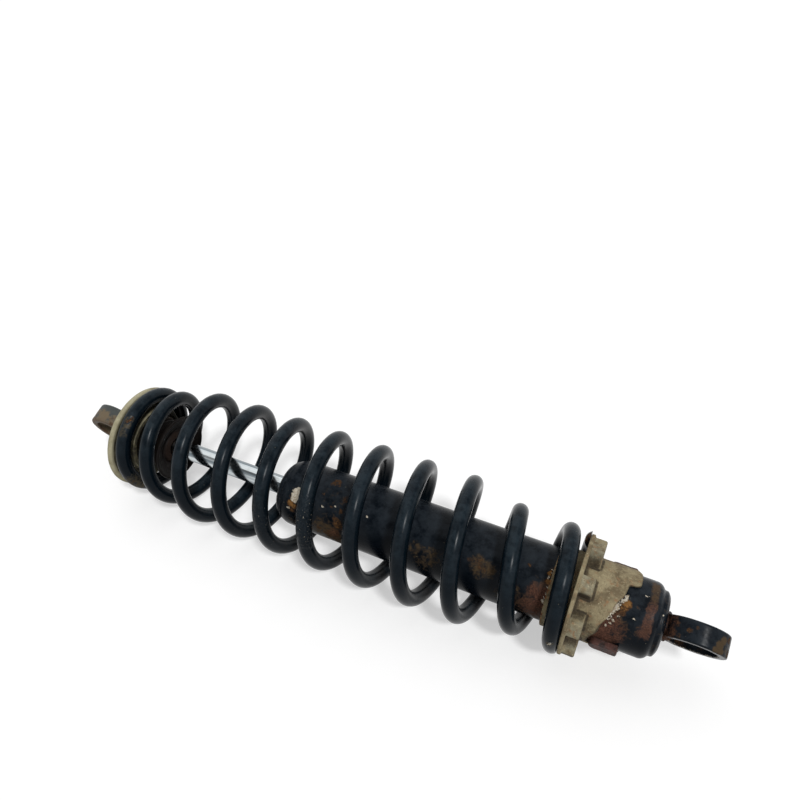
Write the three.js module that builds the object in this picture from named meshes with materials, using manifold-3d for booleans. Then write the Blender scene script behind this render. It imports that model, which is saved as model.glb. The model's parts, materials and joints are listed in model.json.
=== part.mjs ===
// Coil-over rear shock absorber with an adjustable preload collar.
// Millimetres. +X runs along the shock from the rod eye to the body eye, +Z is up.
// The origin is on the floor, midway between the two eyes, under the damper's axis.
// The spring's middle coils lie on the floor. Stations are distances along X.

import * as THREE from 'three';
import { mergeVertices } from 'three/addons/utils/BufferGeometryUtils.js';
import Module from 'manifold-3d';

const wasm = await Module();
wasm.setup();

// Whole shock
const eyeToEyeLength = 328;
const clearance = 0.3;
const cutOverrun = 2;
const edgeChamfer = 0.5;
const outerFacets = 40;
const middleFacets = 30;
const innerFacets = 20;
const portFacets = 8;
const hexagonSides = 6;

// Mounting eyes
const eyeOuterRadius = 14;
const eyeBoreRadius = 10.25;
const bodyEyeWidth = 10;
const rodEyeWidth = 11;
const bodyEyeAngle = 29;
const rodEyeAngle = 21;
const eyeFacets = 30;
const weldHeight = 1.8;
const weldSpread = 1.6;
const weldRootShare = 0.16;
const weldMiddleShare = 0.25;
const bodyWeldRadius = 5.4;

// Damper tube, rolled in over its head at the rod end
const tubeRadius = 17.5;
const tubeWall = 1.6;
const tubeLength = 185.9;
const headMouthRadius = 9.3;
const headFaceWidth = 3;
const headNoseInset = 1.9;
const headNoseLength = 2.9;
const headStepLength = 1.1;
const headShoulderLength = 3.6;
const headBoreLength = 6.5;
const arcSteps = 4;

// Base cap, welded into the tube's end under the body eye
const capEyeDistance = 13.6;
const capReach = 9.4;
const capFaceInset = 5.5;
const capStepInset = 2.7;
const capStepLength = 2.8;
const capShoulderLength = 2.8;
const capSpigotLength = 6.4;
const capRecessRadius = 8.5;
const capRecessDepth = 8;

// Stop lugs that the preload cam rests on, welded to the tube half a turn apart
const stopLugAngle = 193;
const stopLugWidth = 6;
const stopLugSetback = 18.7;
const stopLugLength = 12.6;
const stopLugHeight = 3.3;
const stopLugNoseSteps = 6;
const stopLugTailRadius = 1;

// Inner cylinder of the twin-tube damper
const cylinderOilGap = 2.4;
const cylinderWall = 1.2;
const cylinderHeadSetback = 20.2;
const cylinderEndSetback = 14.3;

// Rod guide with its bush, ring and seals
const guideFaceInset = 0.4;
const guideConeLength = 5.4;
const guideSpigotLength = 5;
const guideSealDepth = 6.2;
const guideRingGrooveWidth = 2.6;
const guideRingGrooveDepth = 2.1;
const guideRingSetback = 3;
const guideRingRadius = 0.8;
const bushWall = 1;
const bushLength = 12;
const sealLipDepth = 1.6;
const sealLipShare = 0.33;
const wiperLength = 2.8;
const wiperLipLength = 1;
const wiperLipWidth = 1.6;

// Piston rod and the stack on its spigot
const rodRadius = 5;
const rodShoulderSetback = 33.9;
const rodSpigotRadius = 4;
const rodTipLength = 1;
const rodTipChamfer = 0.8;
const reboundWasherShare = 0.65;
const washerThickness = 1.5;
const shimStackShare = 0.5875;
const shimStackThickness = 1.5;
const pistonInset = 0.6;
const pistonLength = 14;
const pistonBandWidth = 8;
const pistonBandDepth = 1;
const pistonPortCount = 6;
const pistonPortShare = 0.234;
const pistonNutLength = 5.5;
const pistonNutRadius = 7.5;
const reboundStopShare = 0.7286;
const reboundStopWaistShare = 0.27;

// Base valve between the inner cylinder and the base cap
const valveFootLength = 7;
const valveFootInset = 1.3;
const valveSpigotLength = 4.2;
const valveSlotCount = 4;
const valveSlotWidth = 5;
const valveSlotDepth = 2.4;
const valvePortCount = 6;
const valvePortShare = 0.161;
const valveShimShare = 0.701;
const valveShimThickness = 1.4;
const valvePinRadius = 3;
const valvePinHeadRadius = 5;
const valvePinHeadLength = 2.4;
const valvePinTail = 4.4;
const valveNutLength = 3.4;
const valveNutRadius = 5.6;

// Rod end: eye stub, washer, spring seat, lock nut and bump stop
const seatEyeDistance = 22.9;
const seatThickness = 3.2;
const stubRadius = 8.5;
const stubReach = 1.6;
const stubSocketDepth = 7.3;
const stubRodGap = 0.4;
const stubWeldRadius = 10.6;
const seatWasherThickness = 2.2;
const seatWasherLedge = 3;
const seatRimLedge = 3.1;
const seatRimRound = 1;
const seatPocketDepth = 0.8;
const seatHubGap = 2.9;
const seatHubLength = 6.6;
const seatHubWall = 2.6;
const seatHubRound = 0.8;
const lockNutLength = 6;
const lockNutRadius = 9;
const bumpWasherRadius = 14.4;
const bumpWasherThickness = 1.5;
const bumpStopLength = 13.5;
const bumpStopRootRadius = 13.6;
const bumpStopGrooveDepth = 1.5;
// Shares of the length to the groove's two edges, to its floor and to the lip's root
const bumpStopShares = [0.23, 0.33, 0.43, 0.67];
const bumpStopLipLedge = 1.2;
const bumpStopLipEdge = 1.2;
const bumpStopDishDepth = 4.4;
const bumpStopDishRadius = 9.8;
const bumpStopNeckRadius = 8.6;
const bumpStopNeckSetback = 3;

// Coil spring with reduced, closed and ground end coils
const wireDiameter = 8;
const springCollarGap = 2.5;
const springEndReduction = 5.8;
const springTurns = 11.38;
const springTipAngle = 282;
const closedPitch = 8.5;
const rodClosedTurns = 0.413;
const rodOpenTurns = 1.688;
const bodyClosedTurns = 0.707;
const bodyOpenTurns = 1.107;
const rodNarrowTurns = 1.096;
const rodFullTurns = 2.589;
const bodyNarrowTurns = 2.164;
const bodyFullTurns = 2.712;
const rodTipGround = 4;
const bodyTipGround = 6;
const springSag = 3;
const sagPower = 6;
const floorFlatDepth = 0.5;
const stepsPerTurn = 8;
const wireSides = 5;
const gapSamplesPerTurn = 72;
const roomShare = 4;

// Preload collar
const flangeLugDistance = 11.6;
const flangeLedge = 2.5;
const flangeThickness = 1.8;
const collarWall = 1.6;
const sleeveTaper = 0.2;
const skirtLength = 11;
const spannerLugCount = 8;
const spannerLugAngle = 27;
const spannerLugInset = 1;
const spannerLugWidth = 8.5;
const spannerLugLength = 5.8;
const spannerLugCorner = 1.2;
const cornerSteps = 3;
const camSeatCount = 4;
const camStepAngle = 30.7;
const camStepRise = 3.4;
const camSeatHalfAngle = 8;
const camSeatLowDrop = 1.25;
const camSeatHighDrop = 0.45;
const camRiserSteps = 3;
const camTongueRise = 14.6;
const camTongueStartAngle = 102.3;
const camTongueEndAngle = 169;
// Shares of the tongue's angle and of its rise above the softest seat, along its outline
const tongueOutlineShares = [
  [0, 0.67], [0.02, 0.88], [0.045, 0.97], [0.1, 1], [0.22, 1], [0.34, 1], [0.45, 0.98],
  [0.57, 0.93], [0.68, 0.86], [0.79, 0.74], [0.88, 0.56], [0.94, 0.3], [1, -0.085],
];

// Radii worked out from the tube outwards
const collarBore = tubeRadius + clearance;
const collarRadius = collarBore + collarWall;
const wireRadius = wireDiameter / 2;
const springEndRadius = collarRadius + springCollarGap + wireRadius;
const springRadius = springEndRadius + springEndReduction;
const flangeRadius = springEndRadius + flangeLedge;
const spannerLugRadius = flangeRadius - spannerLugInset;
const seatRimRadius = springEndRadius + seatRimLedge;
const seatHubRadius = springEndRadius - wireRadius - seatHubGap;
const seatWasherRadius = seatHubRadius + seatWasherLedge;
const seatHubBoreRadius = seatHubRadius - seatHubWall;
const bumpStopLipRadius = tubeRadius + bumpStopLipLedge;
const axisHeight = springRadius + wireRadius - springSag - floorFlatDepth;

// Radii worked out from the tube inwards
const headFaceRadius = headMouthRadius + headFaceWidth;
const headNoseRadius = tubeRadius - headNoseInset;
const capFaceRadius = tubeRadius - capFaceInset;
const capStepRadius = tubeRadius - capStepInset;
const tubeBoreRadius = tubeRadius - tubeWall;
const fillRadius = tubeBoreRadius - clearance;
const valveFootRadius = tubeBoreRadius - valveFootInset;
const cylinderRadius = tubeBoreRadius - cylinderOilGap;
const cylinderBoreRadius = cylinderRadius - cylinderWall;
const cylinderFillRadius = cylinderBoreRadius - clearance;
const pistonRadius = cylinderBoreRadius - pistonInset;
const rodBoreRadius = rodRadius + clearance;
const reboundStopWidth = (cylinderBoreRadius - rodBoreRadius) * reboundStopShare;
const reboundStopRadius = rodBoreRadius + reboundStopWidth;
const spigotBoreRadius = rodSpigotRadius + clearance;
const spigotRoom = cylinderBoreRadius - spigotBoreRadius;
const reboundWasherRadius = spigotBoreRadius + spigotRoom * reboundWasherShare;
const shimStackRadius = spigotBoreRadius + spigotRoom * shimStackShare;
const valvePinBore = valvePinRadius + clearance;
const valvePinRoom = cylinderFillRadius - valvePinBore;
const valveShimRadius = valvePinBore + valvePinRoom * valveShimShare;

// Stations worked out from the body eye towards the rod end
const bodyEyeStation = eyeToEyeLength / 2;
const capFaceStation = bodyEyeStation - capEyeDistance;
const tubeEndStation = capFaceStation - capReach;
const cylinderEnd = tubeEndStation - cylinderEndSetback;
const stopLugStation = tubeEndStation - stopLugSetback;
const flangeFaceStation = stopLugStation - flangeLugDistance;
const headStation = tubeEndStation - tubeLength;
const cylinderStart = headStation + cylinderHeadSetback;
const rodShoulder = headStation + rodShoulderSetback;

// Stations worked out from the rod eye
const rodEyeStation = -eyeToEyeLength / 2;
const seatFaceStation = rodEyeStation + seatEyeDistance;
const stubEndStation = seatFaceStation + stubReach;
const stubSocketStart = stubEndStation - stubSocketDepth;
const rodStart = stubSocketStart + stubRodGap;
const seatBackStation = seatFaceStation - seatThickness;
const seatWasherStart = seatBackStation - clearance - seatWasherThickness;
const stubWeldStation = seatWasherStart - clearance;

// Colours and finishes
const blackPaint = { color: 0x191c22, roughness: 0.38, metalness: 0.3 };
const bluePaint = { color: 0x1b2530, roughness: 0.34, metalness: 0.25 };
const chrome = { color: 0xd8dade, roughness: 0.07, metalness: 1 };
const steel = { color: 0x8d9096, roughness: 0.36, metalness: 0.9 };
const rustySteel = { color: 0x5a3324, roughness: 0.8, metalness: 0.35 };
const castAluminium = { color: 0xa5a8ab, roughness: 0.45, metalness: 0.85 };
const bronze = { color: 0xa5794a, roughness: 0.35, metalness: 0.85 };
const tanCast = { color: 0x8f8266, roughness: 0.72, metalness: 0.25 };
const beigePlastic = { color: 0xb9ac86, roughness: 0.62, metalness: 0 };
const dustyRubber = { color: 0x2c2722, roughness: 0.86, metalness: 0 };
const sealRubber = { color: 0x1a1a1b, roughness: 0.7, metalness: 0 };
const darkPlastic = { color: 0x33312c, roughness: 0.5, metalness: 0 };

const radians = THREE.MathUtils.degToRad;

// Points of a quarter ellipse from one corner to the other, without its first point.
// The arc leaves along X when alongFirst is true and along the radius otherwise.
function quarterArc(start, end, alongFirst) {
  const points = [];
  for (let step = 1; step <= arcSteps; step++) {
    const angle = (Math.PI / 2) * (step / arcSteps);
    const early = Math.sin(angle);
    const late = 1 - Math.cos(angle);
    const x = start[0] + (end[0] - start[0]) * (alongFirst ? early : late);
    const radius = start[1] + (end[1] - start[1]) * (alongFirst ? late : early);
    points.push([x, radius]);
  }
  return points;
}

// Turns a closed outline of [station, radius] points about the X axis.
function revolve(outline, facets) {
  const onAxis = outline[0][1] === 0 && outline.at(-1)[1] === 0;
  const loop = onAxis ? outline : [...outline, outline[0]];
  let area = 0;
  for (let i = 0; i < outline.length; i++) {
    const [x0, r0] = outline[i];
    const [x1, r1] = outline[(i + 1) % outline.length];
    area += x0 * r1 - x1 * r0;
  }
  const ordered = area > 0 ? loop : [...loop].reverse();
  const points = ordered.map(([x, radius]) => new THREE.Vector2(radius, -x));
  const geometry = new THREE.LatheGeometry(points, facets);
  geometry.rotateZ(Math.PI / 2);
  return geometry;
}

// A plain ring between two stations.
function ring(start, end, boreRadius, radius, facets) {
  return revolve([[start, boreRadius], [start, radius], [end, radius], [end, boreRadius]], facets);
}

// A ring whose two outer edges are chamfered.
function chamferedRing(start, end, boreRadius, radius, chamfer, facets) {
  return revolve([
    [start, boreRadius], [start, radius - chamfer], [start + chamfer, radius],
    [end - chamfer, radius], [end, radius - chamfer], [end, boreRadius],
  ], facets);
}

// A round bar between two stations, used as a body or as a cutter.
function bar(start, end, radius, facets) {
  return revolve([[start, 0], [start, radius], [end, radius], [end, 0]], facets);
}

function toSolid(geometry) {
  const plain = geometry.clone();
  plain.deleteAttribute('normal');
  plain.deleteAttribute('uv');
  const merged = mergeVertices(plain);
  const corners = merged.index.array;
  const kept = [];
  for (let i = 0; i < corners.length; i += 3) {
    const [a, b, c] = corners.slice(i, i + 3);
    if (a !== b && b !== c && c !== a) kept.push(a, b, c);
  }
  return new wasm.Manifold(new wasm.Mesh({
    numProp: 3,
    vertProperties: new Float32Array(merged.attributes.position.array),
    triVerts: new Uint32Array(kept),
  }));
}

function toGeometry(solid) {
  const mesh = solid.getMesh();
  const geometry = new THREE.BufferGeometry();
  const places = new Float32Array(mesh.numVert * 3);
  for (let i = 0; i < mesh.numVert; i++) {
    for (let k = 0; k < 3; k++) places[i * 3 + k] = mesh.vertProperties[i * mesh.numProp + k];
  }
  geometry.setAttribute('position', new THREE.BufferAttribute(places, 3));
  geometry.setIndex(new THREE.BufferAttribute(new Uint32Array(mesh.triVerts), 1));
  return geometry;
}

function cut(body, ...tools) {
  let solid = toSolid(body);
  for (const tool of tools) solid = solid.subtract(toSolid(tool));
  return toGeometry(solid);
}

function joinAll(...pieces) {
  let solid = toSolid(pieces[0]);
  for (const piece of pieces.slice(1)) solid = solid.add(toSolid(piece));
  return toGeometry(solid);
}

function common(body, tool) {
  return toGeometry(toSolid(body).intersect(toSolid(tool)));
}

// Copies of a shape turned about the X axis.
function around(geometry, count, firstAngle = 0) {
  const copies = [];
  for (let i = 0; i < count; i++) {
    const copy = geometry.clone();
    copy.rotateX(radians(firstAngle + (360 * i) / count));
    copies.push(copy);
  }
  return copies;
}

// A hexagon nut with chamfered corners.
function hexNut(start, length, cornerRadius, boreRadius) {
  const shape = new THREE.Shape();
  for (let i = 0; i < hexagonSides; i++) {
    const angle = (2 * Math.PI * i) / hexagonSides;
    const place = [cornerRadius * Math.cos(angle), cornerRadius * Math.sin(angle)];
    if (i === 0) shape.moveTo(...place);
    else shape.lineTo(...place);
  }
  shape.closePath();
  const prism = new THREE.ExtrudeGeometry(shape, { depth: length, bevelEnabled: false });
  prism.rotateY(Math.PI / 2);
  prism.translate(start, 0, 0);
  const flatRadius = cornerRadius * Math.cos(Math.PI / hexagonSides);
  const chamfer = cornerRadius - flatRadius;
  const limit = chamferedRing(
    start, start + length, boreRadius, cornerRadius, chamfer, middleFacets,
  );
  return common(prism, limit);
}

// Mounting eye: a ring whose bore lies across the shock, joined to a round foot on the axis.
// side is 1 where the foot lies towards +X of the eye and -1 where it lies towards -X.
function mountingEye(station, width, tilt, side, foot) {
  const halfWidth = width / 2;
  const outline = [
    [-halfWidth, eyeBoreRadius], [-halfWidth, eyeOuterRadius],
    [halfWidth, eyeOuterRadius], [halfWidth, eyeBoreRadius],
  ];
  const band = revolve(outline, eyeFacets);
  const reach = halfWidth + cutOverrun;
  const bore = bar(-eyeOuterRadius, eyeOuterRadius, eyeBoreRadius, eyeFacets);
  for (const geometry of [band, bore]) {
    geometry.rotateZ(Math.PI / 2);
    geometry.rotateX(radians(tilt));
    geometry.translate(station, 0, 0);
  }
  const footEnd = foot.at(-1)[0];
  const beyond = bar(footEnd, footEnd + side * reach * 2, eyeOuterRadius, innerFacets);
  return cut(joinAll(band, revolve(foot, middleFacets)), bore, beyond);
}

function makeBodyEye() {
  const footStation = capFaceStation + clearance;
  const buried = bodyEyeStation - eyeBoreRadius;
  const root = bodyWeldRadius + weldSpread;
  return mountingEye(bodyEyeStation, bodyEyeWidth, bodyEyeAngle, -1, [
    [buried, 0], [buried, bodyWeldRadius],
    [footStation + weldHeight / 2, bodyWeldRadius + weldSpread * weldMiddleShare],
    [footStation + weldHeight * weldRootShare, root], [footStation, root], [footStation, 0],
  ]);
}

function makeRodEye() {
  const buried = rodEyeStation + eyeBoreRadius;
  const rootEdge = stubWeldStation - weldHeight * weldRootShare;
  const solid = mountingEye(rodEyeStation, rodEyeWidth, rodEyeAngle, 1, [
    [buried, 0], [buried, stubWeldRadius - weldHeight],
    [rootEdge, stubWeldRadius], [stubWeldStation, stubWeldRadius],
    [stubWeldStation, stubRadius], [stubEndStation - edgeChamfer, stubRadius],
    [stubEndStation, stubRadius - edgeChamfer], [stubEndStation, 0],
  ]);
  const socket = bar(stubSocketStart, stubEndStation + cutOverrun, rodBoreRadius, innerFacets);
  return cut(solid, socket);
}

function makeOuterTube() {
  const noseStart = [headStation, headFaceRadius];
  const noseEnd = [headStation + headNoseLength, headNoseRadius];
  const stepEnd = [noseEnd[0] + headStepLength, headNoseRadius];
  const shoulderEnd = [stepEnd[0] + headShoulderLength, tubeRadius];
  const innerFace = headStation + tubeWall;
  const innerCorner = [innerFace, headFaceRadius - clearance];
  return revolve([
    [headStation, headMouthRadius], noseStart, ...quarterArc(noseStart, noseEnd, false),
    stepEnd, ...quarterArc(stepEnd, shoulderEnd, false),
    [tubeEndStation, tubeRadius], [tubeEndStation, tubeBoreRadius],
    [headStation + headBoreLength, tubeBoreRadius], innerCorner, [innerFace, headMouthRadius],
  ], outerFacets);
}

function makeBaseCap() {
  const rimStation = tubeEndStation + clearance;
  const spigotStation = rimStation - capSpigotLength;
  const stepStation = capFaceStation - capStepLength;
  const shoulder = [stepStation - capShoulderLength, tubeRadius];
  const step = [stepStation, capStepRadius];
  const face = [capFaceStation, capFaceRadius];
  const edge = [capFaceStation - capStepLength / 2, capStepRadius];
  return revolve([
    [spigotStation + capRecessDepth, 0], [spigotStation + capRecessDepth, capRecessRadius],
    [spigotStation, capRecessRadius], [spigotStation, fillRadius - edgeChamfer],
    [spigotStation + edgeChamfer, fillRadius], [rimStation, fillRadius], [rimStation, tubeRadius],
    shoulder, ...quarterArc(shoulder, step, true), edge, ...quarterArc(edge, face, true),
    [capFaceStation, 0],
  ], outerFacets);
}

// Stop lug: a bar along the tube, bent to its curve, with a full-round nose for the cam.
function makeStopLug(angle) {
  const half = stopLugWidth / 2;
  const length = stopLugLength;
  const shape = new THREE.Shape();
  shape.moveTo(length, stopLugTailRadius - half);
  shape.lineTo(length, half - stopLugTailRadius);
  shape.quadraticCurveTo(length, half, length - stopLugTailRadius, half);
  shape.lineTo(half, half);
  shape.absarc(half, 0, half, Math.PI / 2, Math.PI * 1.5, false);
  shape.lineTo(length - stopLugTailRadius, -half);
  shape.quadraticCurveTo(length, -half, length, stopLugTailRadius - half);
  const geometry = new THREE.ExtrudeGeometry(shape, {
    depth: stopLugHeight,
    bevelEnabled: false,
    curveSegments: stopLugNoseSteps,
  });
  const foot = tubeRadius + clearance;
  const middle = foot + stopLugHeight / 2;
  const places = geometry.attributes.position;
  for (let i = 0; i < places.count; i++) {
    const turn = radians(angle) - places.getY(i) / middle;
    const radius = foot + places.getZ(i);
    const x = stopLugStation + places.getX(i);
    places.setXYZ(i, x, radius * Math.cos(turn), radius * Math.sin(turn));
  }
  return geometry;
}

function makeInnerCylinder() {
  return ring(cylinderStart, cylinderEnd, cylinderBoreRadius, cylinderRadius, innerFacets);
}

const guideFace = headStation + tubeWall + clearance;
const guideStep = cylinderStart - clearance;
const guideRingStation = guideStep - guideRingSetback;

function makeRodGuide() {
  const bushBore = rodBoreRadius + bushWall + clearance;
  const ringStart = guideRingStation - guideRingGrooveWidth;
  const sealPocketRadius = headMouthRadius;
  return revolve([
    [guideFace, sealPocketRadius], [guideFace, headFaceRadius - guideFaceInset],
    [guideFace + guideConeLength, fillRadius],
    [ringStart, fillRadius], [ringStart, fillRadius - guideRingGrooveDepth],
    [guideRingStation, fillRadius - guideRingGrooveDepth], [guideRingStation, fillRadius],
    [guideStep, fillRadius], [guideStep, cylinderFillRadius],
    [guideStep + guideSpigotLength, cylinderFillRadius], [guideStep + guideSpigotLength, bushBore],
    [guideFace + guideSealDepth, bushBore], [guideFace + guideSealDepth, sealPocketRadius],
  ], innerFacets);
}

function makeGuideBush() {
  const end = guideStep + guideSpigotLength;
  return ring(end - bushLength, end, rodBoreRadius, rodBoreRadius + bushWall, innerFacets);
}

function makeGuideRing() {
  const centre = [guideRingStation - guideRingGrooveWidth / 2, fillRadius - guideRingRadius];
  const outline = [];
  for (let i = 0; i < hexagonSides; i++) {
    const angle = (2 * Math.PI * i) / hexagonSides;
    const x = centre[0] + guideRingRadius * Math.cos(angle);
    outline.push([x, centre[1] + guideRingRadius * Math.sin(angle)]);
  }
  return revolve(outline, innerFacets);
}

function makeOilSeal() {
  const start = guideFace + clearance;
  const end = guideFace + guideSealDepth - clearance;
  const outer = headMouthRadius - clearance;
  const lip = (end - start) * sealLipShare;
  return revolve([
    [start, rodBoreRadius + sealLipDepth], [start, outer], [end, outer],
    [end, rodBoreRadius + sealLipDepth], [end - lip, rodBoreRadius], [start + lip, rodBoreRadius],
  ], innerFacets);
}

function makeDustWiper() {
  const end = guideFace;
  const outer = headMouthRadius - clearance;
  const start = end - wiperLength;
  return revolve([
    [start, rodBoreRadius], [start, rodBoreRadius + wiperLipWidth / 2],
    [start + wiperLipLength, rodBoreRadius + wiperLipWidth], [start + wiperLipLength, outer],
    [end, outer], [end, rodBoreRadius + wiperLipWidth / 2],
    [end - wiperLipLength, rodBoreRadius],
  ], innerFacets);
}

function makePistonRod() {
  return revolve([
    [rodStart, 0], [rodStart, rodRadius - rodTipChamfer], [rodStart + rodTipChamfer, rodRadius],
    [rodShoulder, rodRadius], [rodShoulder, rodSpigotRadius],
    [rodEnd - rodTipChamfer, rodSpigotRadius], [rodEnd, rodSpigotRadius - rodTipChamfer], [rodEnd, 0],
  ], middleFacets);
}

// Stations of the stack that the piston nut clamps against the rod's shoulder
const washerStart = rodShoulder + clearance;
const washerEnd = washerStart + washerThickness;
const compressionShimStart = washerEnd + clearance;
const compressionShimEnd = compressionShimStart + shimStackThickness;
const pistonStart = compressionShimEnd + clearance;
const pistonEnd = pistonStart + pistonLength;
const reboundShimStart = pistonEnd + clearance;
const reboundShimEnd = reboundShimStart + shimStackThickness;
const pistonNutStart = reboundShimEnd + clearance;
const bandStart = pistonStart + (pistonLength - pistonBandWidth) / 2;
const rodEnd = pistonNutStart + pistonNutLength + rodTipLength;

function makePiston() {
  const waist = pistonRadius - pistonBandDepth;
  const body = revolve([
    [pistonStart, spigotBoreRadius], [pistonStart, pistonRadius - edgeChamfer],
    [pistonStart + edgeChamfer, pistonRadius], [bandStart, pistonRadius], [bandStart, waist],
    [bandStart + pistonBandWidth, waist], [bandStart + pistonBandWidth, pistonRadius],
    [pistonEnd - edgeChamfer, pistonRadius], [pistonEnd, pistonRadius - edgeChamfer],
    [pistonEnd, spigotBoreRadius],
  ], innerFacets);
  const portRadius = (waist - spigotBoreRadius) * pistonPortShare;
  const port = bar(pistonStart - cutOverrun, pistonEnd + cutOverrun, portRadius, portFacets);
  port.translate(0, 0, (spigotBoreRadius + waist) / 2);
  return cut(body, ...around(port, pistonPortCount));
}

function makePistonBand() {
  const waist = pistonRadius - pistonBandDepth + clearance;
  const start = bandStart + clearance;
  const end = bandStart + pistonBandWidth - clearance;
  return ring(start, end, waist, cylinderFillRadius, innerFacets);
}

function makeReboundStop() {
  const start = guideStep + guideSpigotLength + clearance;
  const end = rodShoulder - clearance;
  const middle = (start + end) / 2;
  const waist = reboundStopRadius - reboundStopWidth * reboundStopWaistShare;
  return revolve([
    [start, rodBoreRadius], [start, reboundStopRadius], [middle, waist],
    [end, reboundStopRadius], [end, rodBoreRadius],
  ], innerFacets);
}

// Stations of the base valve
const valveStep = cylinderEnd + clearance;
const valveFootEnd = valveStep + valveFootLength;
const valveSpigotStart = valveStep - valveSpigotLength;
const valveShimStart = valveSpigotStart - clearance - valveShimThickness;
const valvePinStart = valveShimStart - clearance - valvePinHeadLength;

function makeValveBody() {
  const body = revolve([
    [valveSpigotStart, valvePinBore], [valveSpigotStart, cylinderFillRadius - edgeChamfer],
    [valveSpigotStart + edgeChamfer, cylinderFillRadius], [valveStep, cylinderFillRadius],
    [valveStep, valveFootRadius], [valveFootEnd, valveFootRadius], [valveFootEnd, valvePinBore],
  ], innerFacets);
  const portRadius = valvePinRoom * valvePortShare;
  const port = bar(
    valveSpigotStart - cutOverrun, valveFootEnd + cutOverrun, portRadius, portFacets,
  );
  port.translate(0, 0, (valvePinBore + cylinderFillRadius) / 2);
  const slotHeight = valveFootRadius + cutOverrun;
  const slot = new THREE.BoxGeometry(valveSlotDepth + cutOverrun, valveSlotWidth, slotHeight);
  slot.translate(
    valveFootEnd + (cutOverrun - valveSlotDepth) / 2, 0, capRecessRadius + slotHeight / 2,
  );
  return cut(body, ...around(port, valvePortCount), ...around(slot, valveSlotCount));
}

function makeValvePin() {
  return revolve([
    [valvePinStart, 0], [valvePinStart, valvePinHeadRadius - edgeChamfer],
    [valvePinStart + edgeChamfer, valvePinHeadRadius],
    [valvePinStart + valvePinHeadLength, valvePinHeadRadius],
    [valvePinStart + valvePinHeadLength, valvePinRadius],
    [valveFootEnd + valvePinTail, valvePinRadius], [valveFootEnd + valvePinTail, 0],
  ], innerFacets);
}

// Stations of the rod end
const lockNutStart = stubEndStation + clearance;
const bumpWasherStart = lockNutStart + lockNutLength + clearance;
const bumpStopStart = bumpWasherStart + bumpWasherThickness + clearance;

function makeRodSpringSeat() {
  const stubBore = stubRadius + clearance;
  const hubEnd = seatFaceStation + seatHubLength;
  const pocket = seatFaceStation - seatPocketDepth;
  const backCorner = [seatBackStation, seatRimRadius - seatRimRound];
  const rimBack = [seatBackStation + seatRimRound, seatRimRadius];
  const rimFront = [seatFaceStation - seatRimRound, seatRimRadius];
  return revolve([
    [seatBackStation, stubBore], backCorner, rimBack, rimFront,
    [seatFaceStation, seatRimRadius - seatRimRound],
    [seatFaceStation, seatHubRadius], [hubEnd - seatHubRound, seatHubRadius],
    [hubEnd, seatHubRadius - seatHubRound], [hubEnd, seatHubBoreRadius],
    [pocket, seatHubBoreRadius - seatPocketDepth], [pocket, stubBore],
  ], outerFacets);
}

function makeBumpStop() {
  const start = bumpStopStart;
  const end = start + bumpStopLength;
  const root = bumpStopRootRadius;
  const [grooveStart, groove, grooveEnd, lipRoot] = bumpStopShares.map(
    (share) => start + bumpStopLength * share,
  );
  const lip = [end - bumpStopLipEdge, bumpStopLipRadius];
  const dishFloor = end - bumpStopDishDepth;
  const neckStation = end - bumpStopNeckSetback;
  return revolve([
    [start, rodBoreRadius], [start, root - edgeChamfer], [start + edgeChamfer, root],
    [grooveStart, root], [groove, root - bumpStopGrooveDepth], [grooveEnd, root],
    [lipRoot, (root + bumpStopLipRadius) / 2], lip,
    [end, bumpStopLipRadius - edgeChamfer], [end, bumpStopLipRadius - bumpStopLipEdge],
    [dishFloor, bumpStopDishRadius + edgeChamfer], [dishFloor, bumpStopDishRadius],
    [neckStation, bumpStopNeckRadius], [neckStation, rodBoreRadius],
  ], middleFacets);
}

// Coil spring

const rodSeatPlane = seatFaceStation + clearance;
const bodySeatPlane = flangeFaceStation - clearance;
const springStart = rodSeatPlane + wireRadius - rodTipGround;
const springEnd = bodySeatPlane - wireRadius + bodyTipGround;
const springLength = springEnd - springStart;

function smooth(share) {
  const t = THREE.MathUtils.clamp(share, 0, 1);
  return t * t * (3 - 2 * t);
}

// Area under smooth() up to a share, going on as a full turn for each turn past 1.
function smoothArea(share) {
  if (share <= 0) return 0;
  if (share >= 1) return share - 0.5;
  return share ** 3 - share ** 4 / 2;
}

// Turns, counted from the rod-end tip, that have opened to the full pitch.
function openedTurns(turns) {
  const rodSpan = rodOpenTurns - rodClosedTurns;
  const bodySpan = bodyOpenTurns - bodyClosedTurns;
  const opened = rodSpan * smoothArea((turns - rodClosedTurns) / rodSpan);
  const closedAgain = bodySpan * smoothArea((turns - springTurns + bodyOpenTurns) / bodySpan);
  return opened - closedAgain;
}

const openPitch = closedPitch
  + (springLength - closedPitch * springTurns) / openedTurns(springTurns);

// A point on the wire's centre line, with the way out from the spring's axis.
function springPoint(turns) {
  const angle = radians(springTipAngle + 360 * turns);
  const x = springStart + closedPitch * turns + (openPitch - closedPitch) * openedTurns(turns);
  const reduced = springRadius - springEndRadius;
  const rodShare = 1 - smooth((turns - rodNarrowTurns) / (rodFullTurns - rodNarrowTurns));
  const bodyShare = smooth(
    (turns - springTurns + bodyFullTurns) / (bodyFullTurns - bodyNarrowTurns),
  );
  const radius = springRadius - reduced * (rodShare + bodyShare);
  const along = (x - (springStart + springEnd) / 2) / (springLength / 2);
  const lift = springSag * (1 - Math.min(1, Math.abs(along)) ** sagPower);
  const out = new THREE.Vector3(0, Math.cos(angle), Math.sin(angle));
  const centre = new THREE.Vector3(x, radius * out.y, radius * out.z + lift);
  return { centre, out };
}

// The wire's stations: both tips, and every eighth of a turn counted from straight down.
function springStations() {
  const step = 1 / stepsPerTurn;
  const first = (270 - springTipAngle) / 360;
  const stations = [0];
  for (let turns = first; turns < springTurns; turns += step) {
    if (turns > step / 4 && turns < springTurns - step / 4) stations.push(turns);
  }
  stations.push(springTurns);
  return stations;
}

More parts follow.
